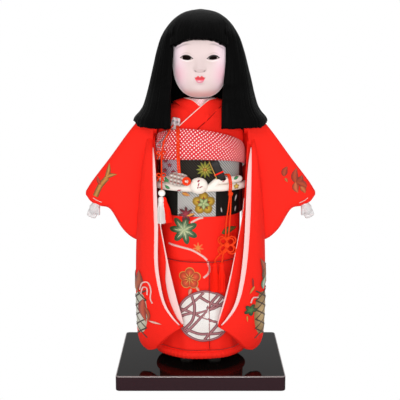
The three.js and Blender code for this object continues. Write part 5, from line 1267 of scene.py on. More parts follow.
# %% Scarf
SCARF_LOW = [(0, 231), (0.25, 234), (0.5, 235.5), (0.75, 232.5), (1, 225)]
SCARF_HIGH = [(0, 260), (0.3, 268.4), (0.45, 269.4), (0.7, 262.5), (1, 247.7)]
SCARF_SWEEP, SCARF_OUT, SCARF_DEEP = 176, 10.6, 4.6
WAIST_HALF, WAIST_DEEP = 37.5, 32.5
scarf_dye = tie_dyed("tie_dye", 2.9, "d20618", "ffffff")
share, roll = np.meshgrid(np.linspace(0, 1, 220), round_way(72), indexing="ij")
sweep = np.radians(-90 + (share - 0.5) * SCARF_SWEEP)
low = through(SCARF_LOW, share)
half = (through(SCARF_HIGH, share) - low) / 2
full = np.sin(np.pi * share)
deep = SCARF_DEEP * mix(0.5, 1, full)
level = low + half + half * np.sin(roll)
pressed = 1.6 * bell(level - 244 + 30 * (share - 0.4), 1.6) * (share < 0.62) * (np.cos(roll) > 0)
fold = 0.55 * np.sin(4 * roll + 9 * share) * full - pressed
out = SCARF_OUT + deep + (deep + fold) * np.cos(roll) - (np.sin(roll) + 1)
scarf_grid = np.stack([
    (WAIST_HALF + out) * np.cos(sweep), (WAIST_DEEP + out) * np.sin(sweep),
    low + half + half * np.sin(roll) * 0.995,
], -1)
stuffed("obi_scarf", scarf_grid, scarf_dye, 0.5, "tie_dye")
print("scarf", scarf_grid.shape[:2])

# %% [markdown]
# The cord over the obi is a stuffed silk tube, tied in front with a round knot. Its two ends turn
# back along the cord and lie just above it. A knotted path would cut itself with so thick a cord,
# so the knot is a ball with grooves where the turns would meet.

# %% Obi cord
CORD_LEVEL, CORD_RADIUS, CORD_OUT, CORD_RISE = 204.0, 4.0, 14.6, 8.0
CORD_FILL, CORD_SIDES = 0.9, 28
KNOT_X, KNOT_Y, KNOT_Z = -2.0, -50.8, 207.4
KNOT_HALF, KNOT_DEEP, KNOT_TALL = 10, 7, 9.2


def cord_path(start, stop, count, rise):
    angle = np.radians(np.linspace(start, stop, count))
    level = CORD_LEVEL + rise * soft_step(np.linspace(0, 1, count), 0, 0.3)
    return oval(angle, level, CORD_OUT)


def puffed(path, radius):
    share = np.linspace(0, 1, len(path))
    ends = np.sqrt(np.clip(1 - np.clip((share - 0.93) / 0.07, 0, 1) ** 2, 0.02, 1))
    gather = 1 - 0.04 * np.abs(np.sin(share * len(path) * 0.22))
    return tube(path, radius * ends * gather, CORD_SIDES)


gather = 1 - 0.03 * np.abs(np.sin(np.linspace(0, 40, 300)))
loop = tube(cord_path(-90, 270, 300, 0), CORD_RADIUS * gather, CORD_SIDES)
stuffed("obi_cord", loop, cord_silk, CORD_FILL, "cord_silk", caps=False)
for name, start, stop in (("left_cord_end", -82, -30), ("right_cord_end", -98, -150)):
    end = puffed(cord_path(start, stop, 80, CORD_RISE), CORD_RADIUS * np.linspace(1.08, 0.92, 80))
    stuffed(name, end, cord_silk, CORD_FILL, "cord_silk")
tilt, spin = np.meshgrid(np.linspace(-1.5, 1.5, 60), round_way(90), indexing="ij")
wound = bell(np.sin(tilt * 1.6 + 0.9 * np.cos(spin)), 0.16)
wound = wound + 0.6 * bell(np.sin(tilt * 1.6 - 1.1 + np.cos(spin)), 0.14)
size = 1 - 0.07 * wound
knot_grid = np.stack([
    KNOT_X + KNOT_HALF * size * np.cos(tilt) * np.cos(spin),
    KNOT_Y + KNOT_DEEP * size * np.cos(tilt) * np.sin(spin),
    KNOT_Z + KNOT_TALL * size * np.sin(tilt),
], -1)
stuffed("obi_cord_knot", knot_grid, cord_silk, CORD_FILL, "cord_silk")
print("cord, two ends and knot")

# %% [markdown]
# At the back the obi is tied in a drum bow: a puffed box of brocade with a wing at each side. It
# could be folded from a strip, but only its outside shows, so one outline is drawn along the width
# and pinched at both ends. The camera in front doesn't see it, so it repeats the band's squares.

# %% Drum bow
DRUM_HALF, DRUM_EDGE = 31, 3
WING_IN, WING_LONG, WING_Y, WING_Z = 31.35, 25.5, 56.6, 226.5


def bow_curve(start, control, stop, count=14):
    t = np.linspace(0, 1, count)[:, None]
    return (1 - t) ** 2 * np.array(start) + 2 * t * (1 - t) * np.array(control) + t**2 * np.array(stop)


def in_squares(name, grid, fill, flip=False):
    paint = obi_colours(grid[..., 0], grid[..., 2], np.zeros(grid.shape[:2], bool))
    stuffed(name, grid, brocade, fill, "brocade", flip=flip, paint=paint)


near, far, low, high = 43.7, 70.7, 176.0, 252.0
outline = np.concatenate([
    bow_curve((near, low + 16), (near, low), (near + 10.8, low)),
    bow_curve((near + 10.8, low), (far, low + 4), (far, low + 28)),
    bow_curve((far, low + 28), (far, high - 6), (near + 12.1, high), 30),
    bow_curve((near + 12.1, high), (near, high + 1), (near, high - 14)),
])
outline = np.concatenate([outline, np.linspace(outline[-1], outline[0], 16)[1:-1]])
core = outline.mean(0)
rounded = DRUM_EDGE * (1 - np.cos(np.linspace(0, 1.57, 7)))
stations = np.concatenate([rounded - DRUM_HALF, np.linspace(-27, 27, 70), DRUM_HALF - rounded[::-1]])
pinch = np.clip((DRUM_HALF - np.abs(stations)) / DRUM_EDGE, 0, 1)
shrink = 1 - 0.12 * (1 - np.sqrt(1 - (1 - pinch) ** 2))
profile = core + (outline - core)[None] * shrink[:, None, None]
drum_grid = np.concatenate([np.broadcast_to(stations[:, None, None], profile.shape[:2] + (1,)), profile], -1)
ridge = 0.5 * np.sin(drum_grid[..., 2] / 6 + drum_grid[..., 0] / 20)
drum_grid[..., 1] += ridge * (drum_grid[..., 1] > far - 14)
in_squares("obi_drum", drum_grid, 0.5)
for side_, word in SIDES:
    share, around = np.meshgrid(np.linspace(0, 1, 40), round_way(48), indexing="ij")
    spread = mix(0.55, 1, soft_step(share, 0, 0.6)) * np.sqrt(1 - 0.7 * soft_step(share, 0.7, 1))
    pleated = spread * (1 + 0.05 * np.cos(8 * around) * (1 - share))
    wing_grid = np.stack([
        side_ * (WING_IN + WING_LONG * share), WING_Y + 8 * pleated * np.cos(around),
        WING_Z + 7.7 * share + 17 * pleated * np.sin(around),
    ], -1)
    in_squares(f"{word}_obi_wing", wing_grid, 0.4, side_ < 0)
print("drum bow with two wings")

# %% [markdown]
# A purse is tucked in at the chest, a scent pouch hangs before the obi, and a folded fan stands
# beside the cord's knot. All are made of pillows, balls with squared sections, because two powers
# turn the same ball into a soft pouch or a thin rib.


# %% Pillows
def leaned(grid, degrees):
    a = math.radians(degrees)
    x, y, z = (grid[..., k] for k in range(3))
    return np.stack([x * math.cos(a) - z * math.sin(a), y, z * math.cos(a) + x * math.sin(a)], -1)


def pillow(width, tall, thick, place, tilt=0.0, outline=0.45, edge=0.6):
    around, over = np.meshgrid(round_way(56), np.linspace(-np.pi / 2, np.pi / 2, 26))
    flat = np.cos(over) ** edge
    x = width / 2 * power(np.cos(around), outline) * flat
    z = tall / 2 * power(np.sin(around), outline) * flat
    y = thick / 2 * power(np.sin(over), edge)
    return leaned(np.stack([x, y, z], -1), -tilt) + np.asarray(place, float)


def figured(grid, ground, marks, step):
    x, z = grid[..., 0], grid[..., 2]
    paint = np.broadcast_to(tint(ground), grid.shape).copy()
    for k, code in enumerate(marks):
        veil = np.sin((x + 0.7 * z) / step + 2.1 * k) * np.sin((z - 0.8 * x) / (1.3 * step) + 1.3 * k)
        paint = mix(paint, tint(code), (0.85 * soft_step(veil, 0.25, 0.6))[..., None])
    return paint


print("a pillow has", pillow(1, 1, 1, (0, 0, 0)).shape[:2], "points")

# %% [markdown]
# The purse is flat and stiff, and the pouch is a small stuffed bag with a gathered mouth at its
# side. Their brocade has figures too small to draw one by one, so a few crossing waves of colour
# stand for them.

# %% Purse and pouch
PURSE_AT, POUCH_AT = (-28.2, -31.4, 272), (-24.6, -50.6, 214.6)
FRILL_X, FRILL_Y, FRILL_Z, FRILL_RADIUS = -15.4, -54.2, 212.8, 3.4
purse_grid = pillow(9.6, 18, 2.6, PURSE_AT, 10, 0.3, 0.4)
purse_paint = figured(purse_grid, "e6dddc", ("3a2f30", "d98a90", "8f858a"), 1.2)
stuffed("purse", purse_grid, silver_brocade, 0.3, "silver_cloth", caps=False, paint=purse_paint)
pouch_grid = pillow(22, 14.5, 6.6, POUCH_AT, 10, 0.7, 0.8)
pouch_paint = figured(pouch_grid, "b3a297", ("5f4a45", "efe6e0", "a25a52"), 1.05)
stuffed("scent_pouch", pouch_grid, silver_brocade, 0.8, "silver_cloth", caps=False, paint=pouch_paint)
gathers = np.linspace(0, TURN, 90)
mouth = np.stack([
    FRILL_X + FRILL_RADIUS * np.cos(gathers), FRILL_Y - 0.3 * np.sin(11 * gathers),
    FRILL_Z + FRILL_RADIUS * np.sin(gathers),
], -1)
frill = tube(mouth, 1.75 - 0.3 * np.abs(np.sin(8 * gathers)), 16)
piece("pouch_mouth", frill, string_silk, BODY, wrap=True)
heart_grid = pillow(5.4, 5.4, 3, (FRILL_X, FRILL_Y + 0.4, FRILL_Z), 0, 0.9, 0.8)
heart_paint = figured(heart_grid, "e9c3b2", ("b5402c", "f4e2da"), 0.8)
piece("pouch_heart", heart_grid, silver_brocade, BODY, wrap=True, paint=heart_paint)
print("purse and pouch")

# %% [markdown]
# The purse's chain is a row of rings, each turned a quarter from the last, as links lie. One thin
# tube would be lighter, but it would look like wire. The fan is a stack of lacquered ribs with a
# gilt edge and a red tie.

# %% Chain and fan
CHAIN = [(-32.2, -33.2, 268.4), (-37, -36, 263.6), (-42, -35, 257), (-46, -32.4, 253)]
LINKS, LINK_RADIUS, LINK_WIRE = 14, 0.85, 0.3
END_RING, END_WIRE = 2.2, 0.45
FAN_TILT, FAN_RIBS = -24, 4


def ring_at(place, forward, flat, radius, wire):
    forward = forward / np.linalg.norm(forward)
    flat = np.cross(forward, flat)
    flat /= np.linalg.norm(flat)
    around = np.linspace(0, TURN, 25)[:, None]
    return tube(place + 1.35 * radius * np.cos(around) * forward + radius * np.sin(around) * flat, wire, 8)


path = route(CHAIN, LINKS)
links = []
for k, (place, ahead) in enumerate(zip(path, np.gradient(path, axis=0))):
    links.append(ring_at(place, ahead, (0, 0, 1) if k % 2 else (0, 1, 0.2), LINK_RADIUS, LINK_WIRE))
links.append(ring_at(path[-1] + (0, 0, -2.6), np.array((1, 0.2, 0)), (0, 1, 0), END_RING, END_WIRE))
piece("purse_chain", links, silver, BODY, "purse_chain", wrap=True, slot="silver")

ribs = []
for k in range(FAN_RIBS):
    place = (19 + 0.25 * k, -45.4 - 0.55 * k, 222.6)
    ribs.append(pillow(10.6 - 0.5 * k, 24.5 - k, 0.8, place, FAN_TILT, 0.2, 0.5))
piece("fan", ribs, black_lacquer, BODY, "fan", wrap=True, slot="fan_lacquer")
gold_thread = finish("gold_thread", "c79a45", 0.4, THREAD, metallic=0.35)
gilt = pillow(1.1, 24, 2.9, (14.2, -46.4, 222.8), FAN_TILT, 0.3, 0.5)
piece("fan_gilt", gilt, gold_thread, BODY, wrap=True)
tie = pillow(11.2, 1.7, 3.6, (20.2, -46.3, 220.6), FAN_TILT, 0.3, 0.5)
piece("fan_tie", tie, red_thread, BODY, wrap=True)
print("chain of", len(links), "rings, and fan of", len(ribs), "ribs")

# %% [markdown]
# A tassel is a bundle of real threads under a bound head, because a solid cone would look carved.
# The threads start on a spiral, so they fill the bundle evenly, and each has its own length.

# %% Bead and tassels
THREADS, THREAD_RADIUS = 80, 0.36
SPIRAL = 2.39996
RED_TASSEL_X, RED_TASSEL_STEP, RED_TASSEL_Z = 16, 7.6, 119.4


def tassel(name, top, length, radius, coat, body, nodes=(), lean=0.0, slot=None):
    cap = (0, 0, -radius * 0.7)
    threads = [pillow(2.0 * radius * 0.62, radius * 1.5, radius * 1.25, cap, 0, 0.8, 0.8)]
    down = np.linspace(0, 1, 9)
    for k in range(THREADS):
        angle, share = SPIRAL * k, math.sqrt((k + 0.5) / THREADS)
        foot = length * (1 - 0.03 * random.random())
        reach = radius * share * (0.92 + 0.12 * random.random())
        away = reach * (mix(0.5, 1.0, soft_step(down, 0.0, 0.5)) + 0.04 * np.sin(5 * down + k))
        line = [away * math.cos(angle), away * math.sin(angle), -radius - (foot - radius) * down]
        threads.append(tube(np.stack(line, -1), THREAD_RADIUS, 5))
    threads.append(tube([(0, 0, -radius * k) for k in (1.25, 1.6, 2.0)], radius * 0.64, 20))
    grids = [leaned(grid, lean) + np.array(top) for grid in threads]
    piece(name, grids, coat, body, nodes, wrap=True, slot=slot)


bead = pillow(8, 8, 8, (BEAD_X, BEAD_Y, 197.35), 0, 1, 1)
piece("tassel_bead", bead, pearl, SWING, "tassel_bead", wrap=True, slot="bead_white")
white_top, side_top = (BEAD_X - 0.8, BEAD_Y, 193.2), (BEAD_X + 2.4, -38.2, 192.6)
tassel("white_tassel", white_top, 30, 5.2, white_thread, SWING, "white_tassel", slot="white_thread")
tassel("side_tassel", side_top, 29.5, 4.0, red_thread, SWING, lean=11)
for k, (name, nodes) in enumerate((("red_tassel_right", "red_tassels"), ("red_tassel_left", ()))):
    top = (RED_TASSEL_X + RED_TASSEL_STEP * k, DROP_Y, RED_TASSEL_Z)
    tassel(name, top, 33, 4.2, red_thread, DROP, nodes, slot="red_silk")
print("bead and four tassels of", THREADS, "threads")

# %% [markdown]
# The flower knot is eight loops of twisted string round a small pillow, with two tails down to the
# tassels. Two little bows sit above the white tassel, and a hitch by the fan holds the flower
# strings. Loops drawn one by one are easier to place than one long path, and the pillow hides where
# they cross.

# %% Flower knot, bows and hitch
FLOWER = np.array((29.5, DROP_Y, 140.0))
LOOP_SIZES, LOOP_RADIUS, BOW_RADIUS = (5.3, 4.1), 0.8, 0.75
HITCH = [
    (29.2, -38.4, 218), (31.4, -40.6, 218.6), (33.2, -43.4, 215), (34.2, -44.6, 208), (34, -46, 203),
    (33.2, DROP_Y, 199.6),
]


def petal(angle, size, place=FLOWER):
    t = np.linspace(0, TURN, 60)
    along, across = size * 1.15 * (1 - np.cos(t)), size * 0.95 * np.sin(t) * (0.7 + 0.3 * (1 - np.cos(t)) / 2)
    return place + leaned(np.stack([along, -0.9 * np.sin(t / 2) + 0.5 * np.sin(t), across], -1), angle)


loops = [tube(petal(45 + 90 * k, size), LOOP_RADIUS, 10, 2, 14) for k in range(4) for size in LOOP_SIZES]
loops.append(pillow(6.4, 6.4, 5, FLOWER + (0, -0.6, 0), 45, 0.6, 0.7))
neck = [FLOWER + (0, 0, 2), FLOWER + (0, 0.2, 6), FLOWER + (0, 0, 9.2)]
loops.append(tube(route(neck, 12), 1.5, 12, 2, 2))
for x in (RED_TASSEL_X, RED_TASSEL_X + RED_TASSEL_STEP):
    tail = [FLOWER + (-0.6, 0.4, -3), (0.4 * x + 16, DROP_Y, 130), (x + 1, DROP_Y, 124), (x, DROP_Y, 118)]
    loops.append(tube(route(tail, 30), STRING_RADIUS, 10, 2, 6))
piece("flower_knot", loops, string_silk, DROP, "flower_knot", wrap=True, slot="string")
for name, level, body in (("string_bow_upper", 241.5, BODY), ("string_bow_lower", 217.0, SWING)):
    middle = np.array((BEAD_X - 0.6, -40.6, level))
    bow = [tube(petal(angle, 2.2, middle), BOW_RADIUS, 10, 2, 6) for angle in (160, 20)]
    for reach in (-3, 2):
        tail = [middle, middle + (reach, -0.5, -3), middle + (1.4 * reach, 0, -6)]
        bow.append(tube(route(tail, 14), BOW_RADIUS, 10, 2, 3))
    piece(name, bow, string_silk, body, wrap=True)
hitch_path = route(HITCH, 60)
hitch = [tube(hitch_path + shift, STRING_RADIUS, 12, 2, 9) for shift in ((0, 0, 0), (-1.9, -0.3, 0))]
hitch.append(pillow(5.2, 5.4, 4.8, (33.2, -46.7, 197.6), 20, 0.7, 0.8))
piece("cord_hitch", hitch, string_silk, BODY, "cord_hitch", wrap=True, slot="string")
print("flower knot of", len(loops), "cords, two bows and a hitch")

# %% [markdown]
# The pictures on the kimono are stitched silk: leaves, a flower, ribbons and a round basket. They
# could be painted on the cloth, but embroidery stands up from it and has a gloss of its own. So
# each is a small flat grid, drawn in millimetres by one of a few functions.


# %% Stitch shapes
def pointing(degrees):
    a = math.radians(degrees)
    return np.array((math.cos(a), math.sin(a)))


def star(place, radius, tips, depth, point=2.0, tilt=90.0):
    angle, share = np.meshgrid(np.linspace(0, TURN, 97), np.linspace(0.02, 1, 7))
    reach = share * radius * (1 - depth * (1 - np.abs(np.cos(tips * angle / 2)) ** point))
    angle = angle + math.radians(tilt)
    return np.stack([place[0] + reach * np.cos(angle), place[1] + reach * np.sin(angle)], -1)


def band(points, width, count=30, shape=lambda t: 1 + 0 * t):
    line = route(points, count)
    ahead = headings(line)
    aside = np.stack([-ahead[:, 1], ahead[:, 0]], -1) * (width / 2 * shape(np.linspace(0, 1, count)))[:, None]
    return np.stack([line + aside * k for k in np.linspace(-1, 1, 7)])


def leaf(start, stop, width, bend=0.0):
    start, stop = np.asarray(start, float), np.asarray(stop, float)
    ahead = stop - start
    middle = (start + stop) / 2 + bend * np.array((-ahead[1], ahead[0]))
    return band([start, middle, stop], width, 18, lambda t: np.sin(np.pi * t**0.8) + 0.02)


def flower(place, radius, petals, inner, outer, tilt=90.0, wide=0.0):
    shapes = []
    for k in range(petals):
        way = pointing(tilt + 360 * k / petals)
        if wide:
            shape = leaf(place + 0.1 * radius * way, place + radius * way, radius * wide)
        else:
            shape = star(place + 0.58 * radius * way, 0.42 * radius, 1, 0.0)
        shapes.append((shape, (outer, inner)))
    return shapes


print("shapes for pictures ready")

# %% [markdown]
# Stitching takes a list of shapes with their colours, lays each on its cloth and joins them in one
# mesh. A shape is thickest along its middle, as padded satin stitch is. Later shapes lie a little
# higher, because two faces at one height would flicker.

# %% Stitching
STITCH_LIFT, STITCH_STEP, STITCH_PUFF = 0.3, 0.05, 0.35
stitched_silk = finish("stitched_silk", PAINT, 0.5, THREAD, 1300, 0.5)


def stitch(name, shapes, onto, body):
    grids, colours = [], []
    for order, (flat, codes) in enumerate(shapes):
        rows, cols = flat.shape[:2]
        across = np.linspace(0, 1, rows)[:, None] + np.zeros((1, cols))
        rim, core = map(tint, codes if isinstance(codes, tuple) else (codes, codes))
        centred = np.hypot(*(flat[0, 0] - flat[0, cols // 2])) < 1.5
        inward = 1 - across if centred else 1 - np.abs(2 * across - 1)
        lift = STITCH_LIFT + STITCH_STEP * order + STITCH_PUFF * inward**0.7
        grids.append(onto(flat[..., 0], flat[..., 1], lift))
        colours.append(mix(rim, core, soft_step(inward, 0.15, 0.85)[..., None]).reshape(-1, 3))
    piece(name, grids, stitched_silk, body, paint=np.concatenate(colours))
    print(name, "in", len(shapes), "shapes")


print("stitching ready")

# %% [markdown]
# A modifier could press each picture onto its cloth, but that goes wrong at folds. Each function
# here takes a flat point and a lift, and gives the place on one of the cloths. They use the cloths'
# own functions, so a change to a cloth's shape moves its pictures too.


# %% Where the pictures lie
def front_turn(x, level, out):
    return -np.arccos(np.clip(x / (np.interp(level, heights, halves) + out), -1, 1))


def on_skirt(x, z, lift):
    turn = front_turn(x, z, KIMONO_OUT)
    return oval(turn, z, skirt_out(turn, z) + lift)


def on_tuck(x, z, lift):
    turn = front_turn(x, z, TUCK_OUT)
    return oval(turn, z, tuck_out(turn, z) + lift)


def on_obi(x, z, lift):
    turn = front_turn(x, z, OBI_OUT)
    return oval(turn, z, OBI_OUT + obi_sag(turn, z) + lift)


print("places on the skirt, the tuck and the obi ready")

# %% [markdown]
# The sleeves are built for the left side and mirrored, so their pictures are drawn for the left
# side too. On the cord a picture bends round the tube, and on the knot it lies on the ball.


# %% Where the sleeve and cord pictures lie
def on_bag(side):
    def place(x, z, lift):
        edge = slit_edge(z, side)
        start, stop = bag_span(z, edge)
        share = (np.arccos(np.clip(x / BAG_REACH, 0, 0.9986)) - start) / (stop - start)
        return sided(bag_layer(z, edge, np.clip(share, 0, 1), 1, lift), side)

    return place


def on_arm(side):
    def place(x, z, lift):
        top, low, deep = (through(table, x) for table in (ARM_TOP, ARM_LOW, ARM_DEEP))
        up = np.clip((2 * z - top - low) / (top - low), -1, 1)
        face = np.sqrt(np.clip(1 - np.abs(up) ** (2 / ARM_ROUND), 0, 1))
        return sided(np.stack([x, -deep * face**ARM_ROUND - 1.2 - lift, z], -1), side)

    return place


def on_cord(x, z, lift):
    level = np.where(z > CORD_LEVEL + 4.2, CORD_LEVEL + CORD_RISE, CORD_LEVEL)
    rise = np.clip(z - level, -3.9, 3.9)
    out = CORD_OUT + np.sqrt(CORD_RADIUS**2 - rise**2) + 0.6 * lift
    place = oval(front_turn(x, level, out), level, out)
    place[..., 2] = z
    return place


def on_knot(x, z, lift):
    away = (x / KNOT_HALF) ** 2 + (z / KNOT_TALL) ** 2
    y = KNOT_Y - KNOT_DEEP * np.sqrt(np.clip(1 - away, 0, 1)) - 0.6 * lift
    return np.stack([x + KNOT_X, y, z + KNOT_Z], -1)


print("places on the sleeves, the cord and its knot ready")

# %% [markdown]
# On the waist tuck lie a seven-pointed leaf with pale veins, a bright blossom and a ribbon that
# runs down over the skirt. Each row is a shape and its two colours, rim first, because two colours
# are enough to show how the stitches turn.

# %% Pictures on the waist tuck
RIBBON, RIBBON_WIDE = ("e99a92", "f6cdc6"), 2.6
LEAF, LEAF_TILT = np.array((-19.0, 155.4)), 78
shapes = [
    (band([(-11, 164), (-3, 168.6), (3, 170.2)], RIBBON_WIDE), RIBBON),
    (band([(-36.8, 138), (-23.2, 135.8), (-8.4, 132.4), (2.8, 126), (7.4, 121.6)], RIBBON_WIDE, 50), RIBBON),
    (star((-2.8, 135.8), 6.4, 7, 0.6), ("f0602c", "e8933c")),
    (leaf((24, 151), (42, 155.5), 7.5, 0.06), ("3c4a1e", "6d6a2a")),
    (star(LEAF, 16.4, 7, 0.46, 1.25, LEAF_TILT), ("27502c", "a3b48a")),
]
for k in range(7):
    way = pointing(LEAF_TILT + 360 * k / 7)
    aside = np.array((way[1], -way[0]))
    shapes.append((leaf(LEAF, LEAF + 12.5 * way, 1.6), "c9cfa0"))
    shapes.append((leaf(LEAF + 5 * way, LEAF + 13.5 * way + 2.2 * aside, 1.2), "3f6a40"))
stitch("tuck_pictures", shapes, on_tuck, BODY)

# %% [markdown]
# Below are a flower of five petals and the basket, a pale disc under crossing canes. Each cane is a
# band through a few points, because a regular lattice would look printed. Thin dark bands are
# painted shade: along the wrap's front edge, under the waist tuck and above the hem roll.

# %% Pictures on the skirt
CANE, CANE_WIDE, PALE, SHADE_LINE = ("5a1f28", "b87c80"), 3.3, ("f6efe9", "fdfaf6"), "a80e08"
BLOOM = np.array((-12.0, 100.0))
BASKET, BASKET_RADIUS = np.array((4.5, 57.0)), 28.5
CANES = [
    [(-27, 3), (-20, 8.6), (-5.5, 22.4), (-1, 27)],
    [(-27.5, 8), (-17.7, 5.6), (0, -2.8), (16, -8.4), (26, -10)],
    [(-28, -2), (-17.7, 2.6), (-5.5, 4.2), (10, 9), (19, 14), (23, 16.5)],
    [(-20, -19), (-16, -15), (0, 2.8), (13.6, 15.3), (18, 21)],
    [(-25, -13), (-5.5, -20.5), (14, -20.5), (19, -20)],
    [(0, -27.5), (6, -20), (13.6, -10), (19, 0), (24, 12)],
    [(-5.5, 22.4), (5.5, 15.3), (19, 11), (26, 9)],
    [(3, 8), (8, 17), (14, 24)],
    [(-14, 24), (-11, 12), (-13, -4), (-22, -16)],
]
shapes = [(band([(7.6, 121.2), (9.6, 112), (8.6, 105.5), (3.5, 100.6)], RIBBON_WIDE), RIBBON)]
shapes += flower(BLOOM, 12.6, 5, "c98a3c", "d9a04a")
shapes += flower(BLOOM, 11.6, 5, "e2502f", "b93a1c")
for a in np.linspace(0.3, 6.0, 10):
    shapes.append((leaf(BLOOM, BLOOM + (8 * math.cos(a), 8 * math.sin(a)), 0.9), "e3a84a"))
shapes += [
    (star(BLOOM, 2.4, 5, 0.2), ("8a3c14", "e9b75a")),
    (leaf(BLOOM + (2, -11), BLOOM + (-1, -19), 4.4), ("c04a2c", "e9a08a")),
    (leaf(BLOOM + (7, -9), BLOOM + (11, -15), 3.6), ("d0603c", "efb09a")),
    (star(BASKET, BASKET_RADIUS, 1, 0.0), PALE),
]
shapes += [(band(BASKET + np.array(line, float), CANE_WIDE, 40), CANE) for line in CANES]
rim_turn = np.linspace(0, TURN, 60)
rim = BASKET + BASKET_RADIUS * np.stack([np.cos(rim_turn), np.sin(rim_turn)], -1)
shapes += [
    (band(rim, 2.6, 120), CANE),
    # painted shade: thin dark bands along the wrap's front edge, under the tuck and above the hem roll
    (band([(9.2, 119), (9.4, 60), (9.8, 19)], 0.6, 60), SHADE_LINE),
    (band([(-40, 119.4), (0, 118.9), (38, 119.4)], 1.0, 90), SHADE_LINE),
    (band([(-44, 17.6), (0, 17.4), (44, 17.6)], 0.7, 90), SHADE_LINE),
]
stitch("skirt_pictures", shapes, on_skirt, BODY)

# %% [markdown]
# Each sleeve carries its own picture: leaves, ribbon loops and a basket that goes on round the
# fold. The basket is drawn narrow, because the cloth turns away from the camera there.

# %% Pictures on the sleeves
BROWN, RED_LEAF = ("2c1a0e", "4a3020"), ("7a2412", "b9562c")
HALF_SHOWN = 0.32


def half_basket(place, tall, pane, cane):
    x, z = place
    shapes = [(star((x, z), tall, 1, 0.0, 1.0) * (HALF_SHOWN, 1) + (x * (1 - HALF_SHOWN), 0), pane)]
    for k in range(-2, 3):
        level = z + 11 * k
        for slope in (1, -1):
            line = [(x - 7, level - 6 * slope), (x, level), (x + 6, level + 7 * slope)]
            shapes.append((band(line, 1.4, 14), cane))
    return shapes


shapes = half_basket((64.5, 57), 24, ("c9c6ae", "ece8da"), BROWN)
shapes += [
    (leaf((70.6, 82), (64.5, 107), 8.5, 0.1), RED_LEAF),
    (leaf((66, 80), (71, 104), 6, -0.1), ("8a3c18", "c27a40")),
    (leaf((60.5, 74), (58, 48), 8.5, 0.1), ("8e2414", "cc5234")),
    (leaf((59.5, 66), (55, 49), 4, -0.1), RED_LEAF),
    (band([(64, 84), (61, 93), (56, 94.5), (53, 87), (53.4, 76), (51.4, 71)], 1.6, 40), RIBBON),
    (band([(63, 79), (60.4, 88), (57, 88), (56.6, 80)], 1.4, 30), RIBBON),
    (leaf((55, 50), (41.5, 48.4), 2.6), ("e58a78", "f6cdbf")),
]
stitch("right_bag_pictures", shapes, on_bag(-1), ARMS[-1])
shapes = half_basket((65.5, 56), 25, ("a07a44", "d2b078"), ("33200f", "56381c"))
shapes += [
    (leaf((68, 88), (62.5, 121), 7.5, -0.1), RED_LEAF),
    (leaf((70.5, 90), (69, 113), 6, 0.1), ("4a2f16", "8f5f30")),
    (leaf((66, 84), (70.4, 100), 5, 0.1), ("2f5f38", "c2d4ba")),
    (leaf((55.4, 100), (56, 87), 1.8), "981c16"),
    (band([(53.4, 71), (56, 76.6), (61, 76)], 1.8, 20), RIBBON),
    (star((53.2, 63), 7, 5, 0.45, 1.2, 60), ("163a1a", "4f7a3c")),
    (leaf((49.4, 57), (50, 50), 1.4), "d09a3c"),
    (leaf((57, 90), (52.4, 82), 2.4), ("b5742c", "dca050")),
]
stitch("left_bag_pictures", shapes, on_bag(1), ARMS[1])

# %% [markdown]
# Near each hand are a few brown and red leaves and a pale edge of ribbon. They lie on the arm's own
# rounded section, so they tilt with the cloth.

# %% Pictures near the hands
GOLD_BROWN, RUST = ("7a4410", "c58a3c"), ("8a1e08", "b8441c")
shapes = [
    (band([(120, 189.5), (114, 202), (106, 211)], 6.2, 20), GOLD_BROWN),
    (leaf((108, 209), (103.6, 228), 5, 0.06), GOLD_BROWN),
    (leaf((110, 210), (94.6, 215), 4.8, -0.08), GOLD_BROWN),
    (leaf((113, 203), (117.6, 212.6), 4, -0.1), RUST),
    (band([(122.6, 187.6), (118, 184.6), (113, 182.4)], 1.0, 12), RIBBON),
]
stitch("right_arm_pictures", shapes, on_arm(-1), ARMS[-1])
shapes = [
    (leaf((94.6, 212.4), (98.6, 224), 7, 0.1), RUST),
    (leaf((96, 211), (99, 206), 3.4), ("9c3a14", "cc7a3c")),
    (leaf((108, 205), (109.4, 222), 8, 0.1), RUST),
    (leaf((108.4, 204), (116, 213.6), 8.4, -0.1), ("7a1c08", "a83c18")),
    (leaf((111, 205), (121.4, 200), 8, 0.1), RUST),
    (leaf((108, 206), (111, 193.6), 7.6, -0.1), ("962c0c", "d0683c")),
    (leaf((113.6, 201), (119.4, 193), 6.4, 0.1), ("a03410", "cc7038")),
    (band([(122.6, 187.6), (118, 184.2), (113, 181.6)], 1.0, 12), RIBBON),
]
stitch("left_arm_pictures", shapes, on_arm(1), ARMS[1])

# %% [markdown]
# The obi has a large and a small gold flower, red blossoms and maple leaves, and its dark square a
# few pale strokes. The cord has green leaves, and its knot red strokes. On the real band they are
# woven in, but as stitches they can use the same helpers.

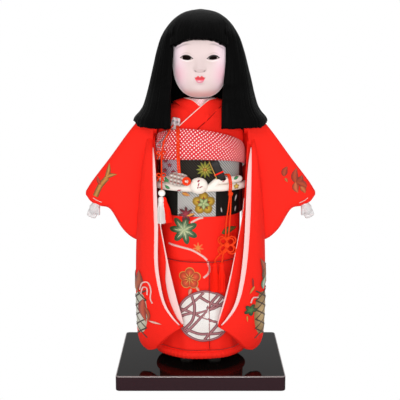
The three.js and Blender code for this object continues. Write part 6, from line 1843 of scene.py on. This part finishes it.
# %% Pictures on the obi and its cord
GREEN, STROKE = ("1f6a38", "49a564"), "a3243c"
LOW_FLOWER, HIGH_FLOWER = np.array((3.4, 186.4)), np.array((4.8, 224.4))
BLOSSOMS = [(-33, 228), (-38, 221.6), (-29, 220.6), (-37, 232.4)]
shapes = flower(LOW_FLOWER, 12.8, 5, "cfa42a", "94700f")
shapes += flower(LOW_FLOWER, 8.4, 5, "8f2a14", "5f420a", 90, 0.34)
shapes += flower(LOW_FLOWER, 6.8, 5, "b5c488", "4a6428", 126, 0.8)
shapes.append((star(LOW_FLOWER, 2.2, 5, 0.2), ("4b6a2a", "d3d8a0")))
shapes += flower(HIGH_FLOWER, 9.6, 12, "98962c", "3f4a14", 90, 0.36)
shapes += flower(HIGH_FLOWER, 5.6, 8, "c9b84a", "5a5a1c", 75, 0.4)
shapes += [(star(place, 2.6, 5, 0.45), ("7d1c2c", "b9404c")) for place in BLOSSOMS]
shapes += [
    (star(HIGH_FLOWER, 2.4, 6, 0.3), ("8a2c1c", "d9b13c")),
    (star((-15.4, 174.6), 8.6, 7, 0.6, 1.6), ("4e0c18", "9c2436")),
    (leaf((-15, 172.4), (-5.6, 175.6), 3), ("c9661c", "ecab4a")),
    (leaf((-19.6, 198), (-11, 195.4), 4), ("b8571c", "e2a044")),
    (leaf((38.6, 194), (36.6, 187), 1.6), "c9bcbc"),
    (leaf((37.6, 181.4), (36.4, 175.6), 1.4), "b8a8a8"),
    (leaf((22.4, 176), (21.6, 182), 1.2), "cfc6c4"),
]
stitch("obi_pictures", shapes, on_obi, BODY)
shapes = [
    (leaf((-34, 209.4), (-40, 216), 3.6, 0.1), GREEN),
    (leaf((-34, 203), (-40, 206.4), 3.4, 0.1), GREEN),
    (leaf((-41.4, 211), (-38, 209.6), 2.2), GREEN),
    (leaf((37, 213), (42.6, 215.4), 3.2), GREEN),
    (star((40, 204.6), 3.2, 5, 0.4, 0.8), ("b98a1c", "f0d060")),
    (leaf((24, 211.4), (27, 212.6), 1.2), "b0304a"),
    (leaf((-26, 201), (-21, 202.4), 1.6), "b0304a"),
]
stitch("cord_pictures", shapes, on_cord, BODY)
shapes = [
    (leaf((-1.4, 5), (1.4, 7.4), 1.8), STROKE),
    (leaf((-0.8, 0.4), (0.6, 4.4), 1.4), STROKE),
    (leaf((0.4, -1.2), (4.6, 0.6), 1.2), STROKE),
    (leaf((-1.6, -2.2), (-0.2, 0.4), 1.2), STROKE),
]
stitch("knot_pictures", shapes, on_knot, BODY)

# %% [markdown]
# Last, the box round these looks is measured.

# %% Finish
low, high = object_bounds()
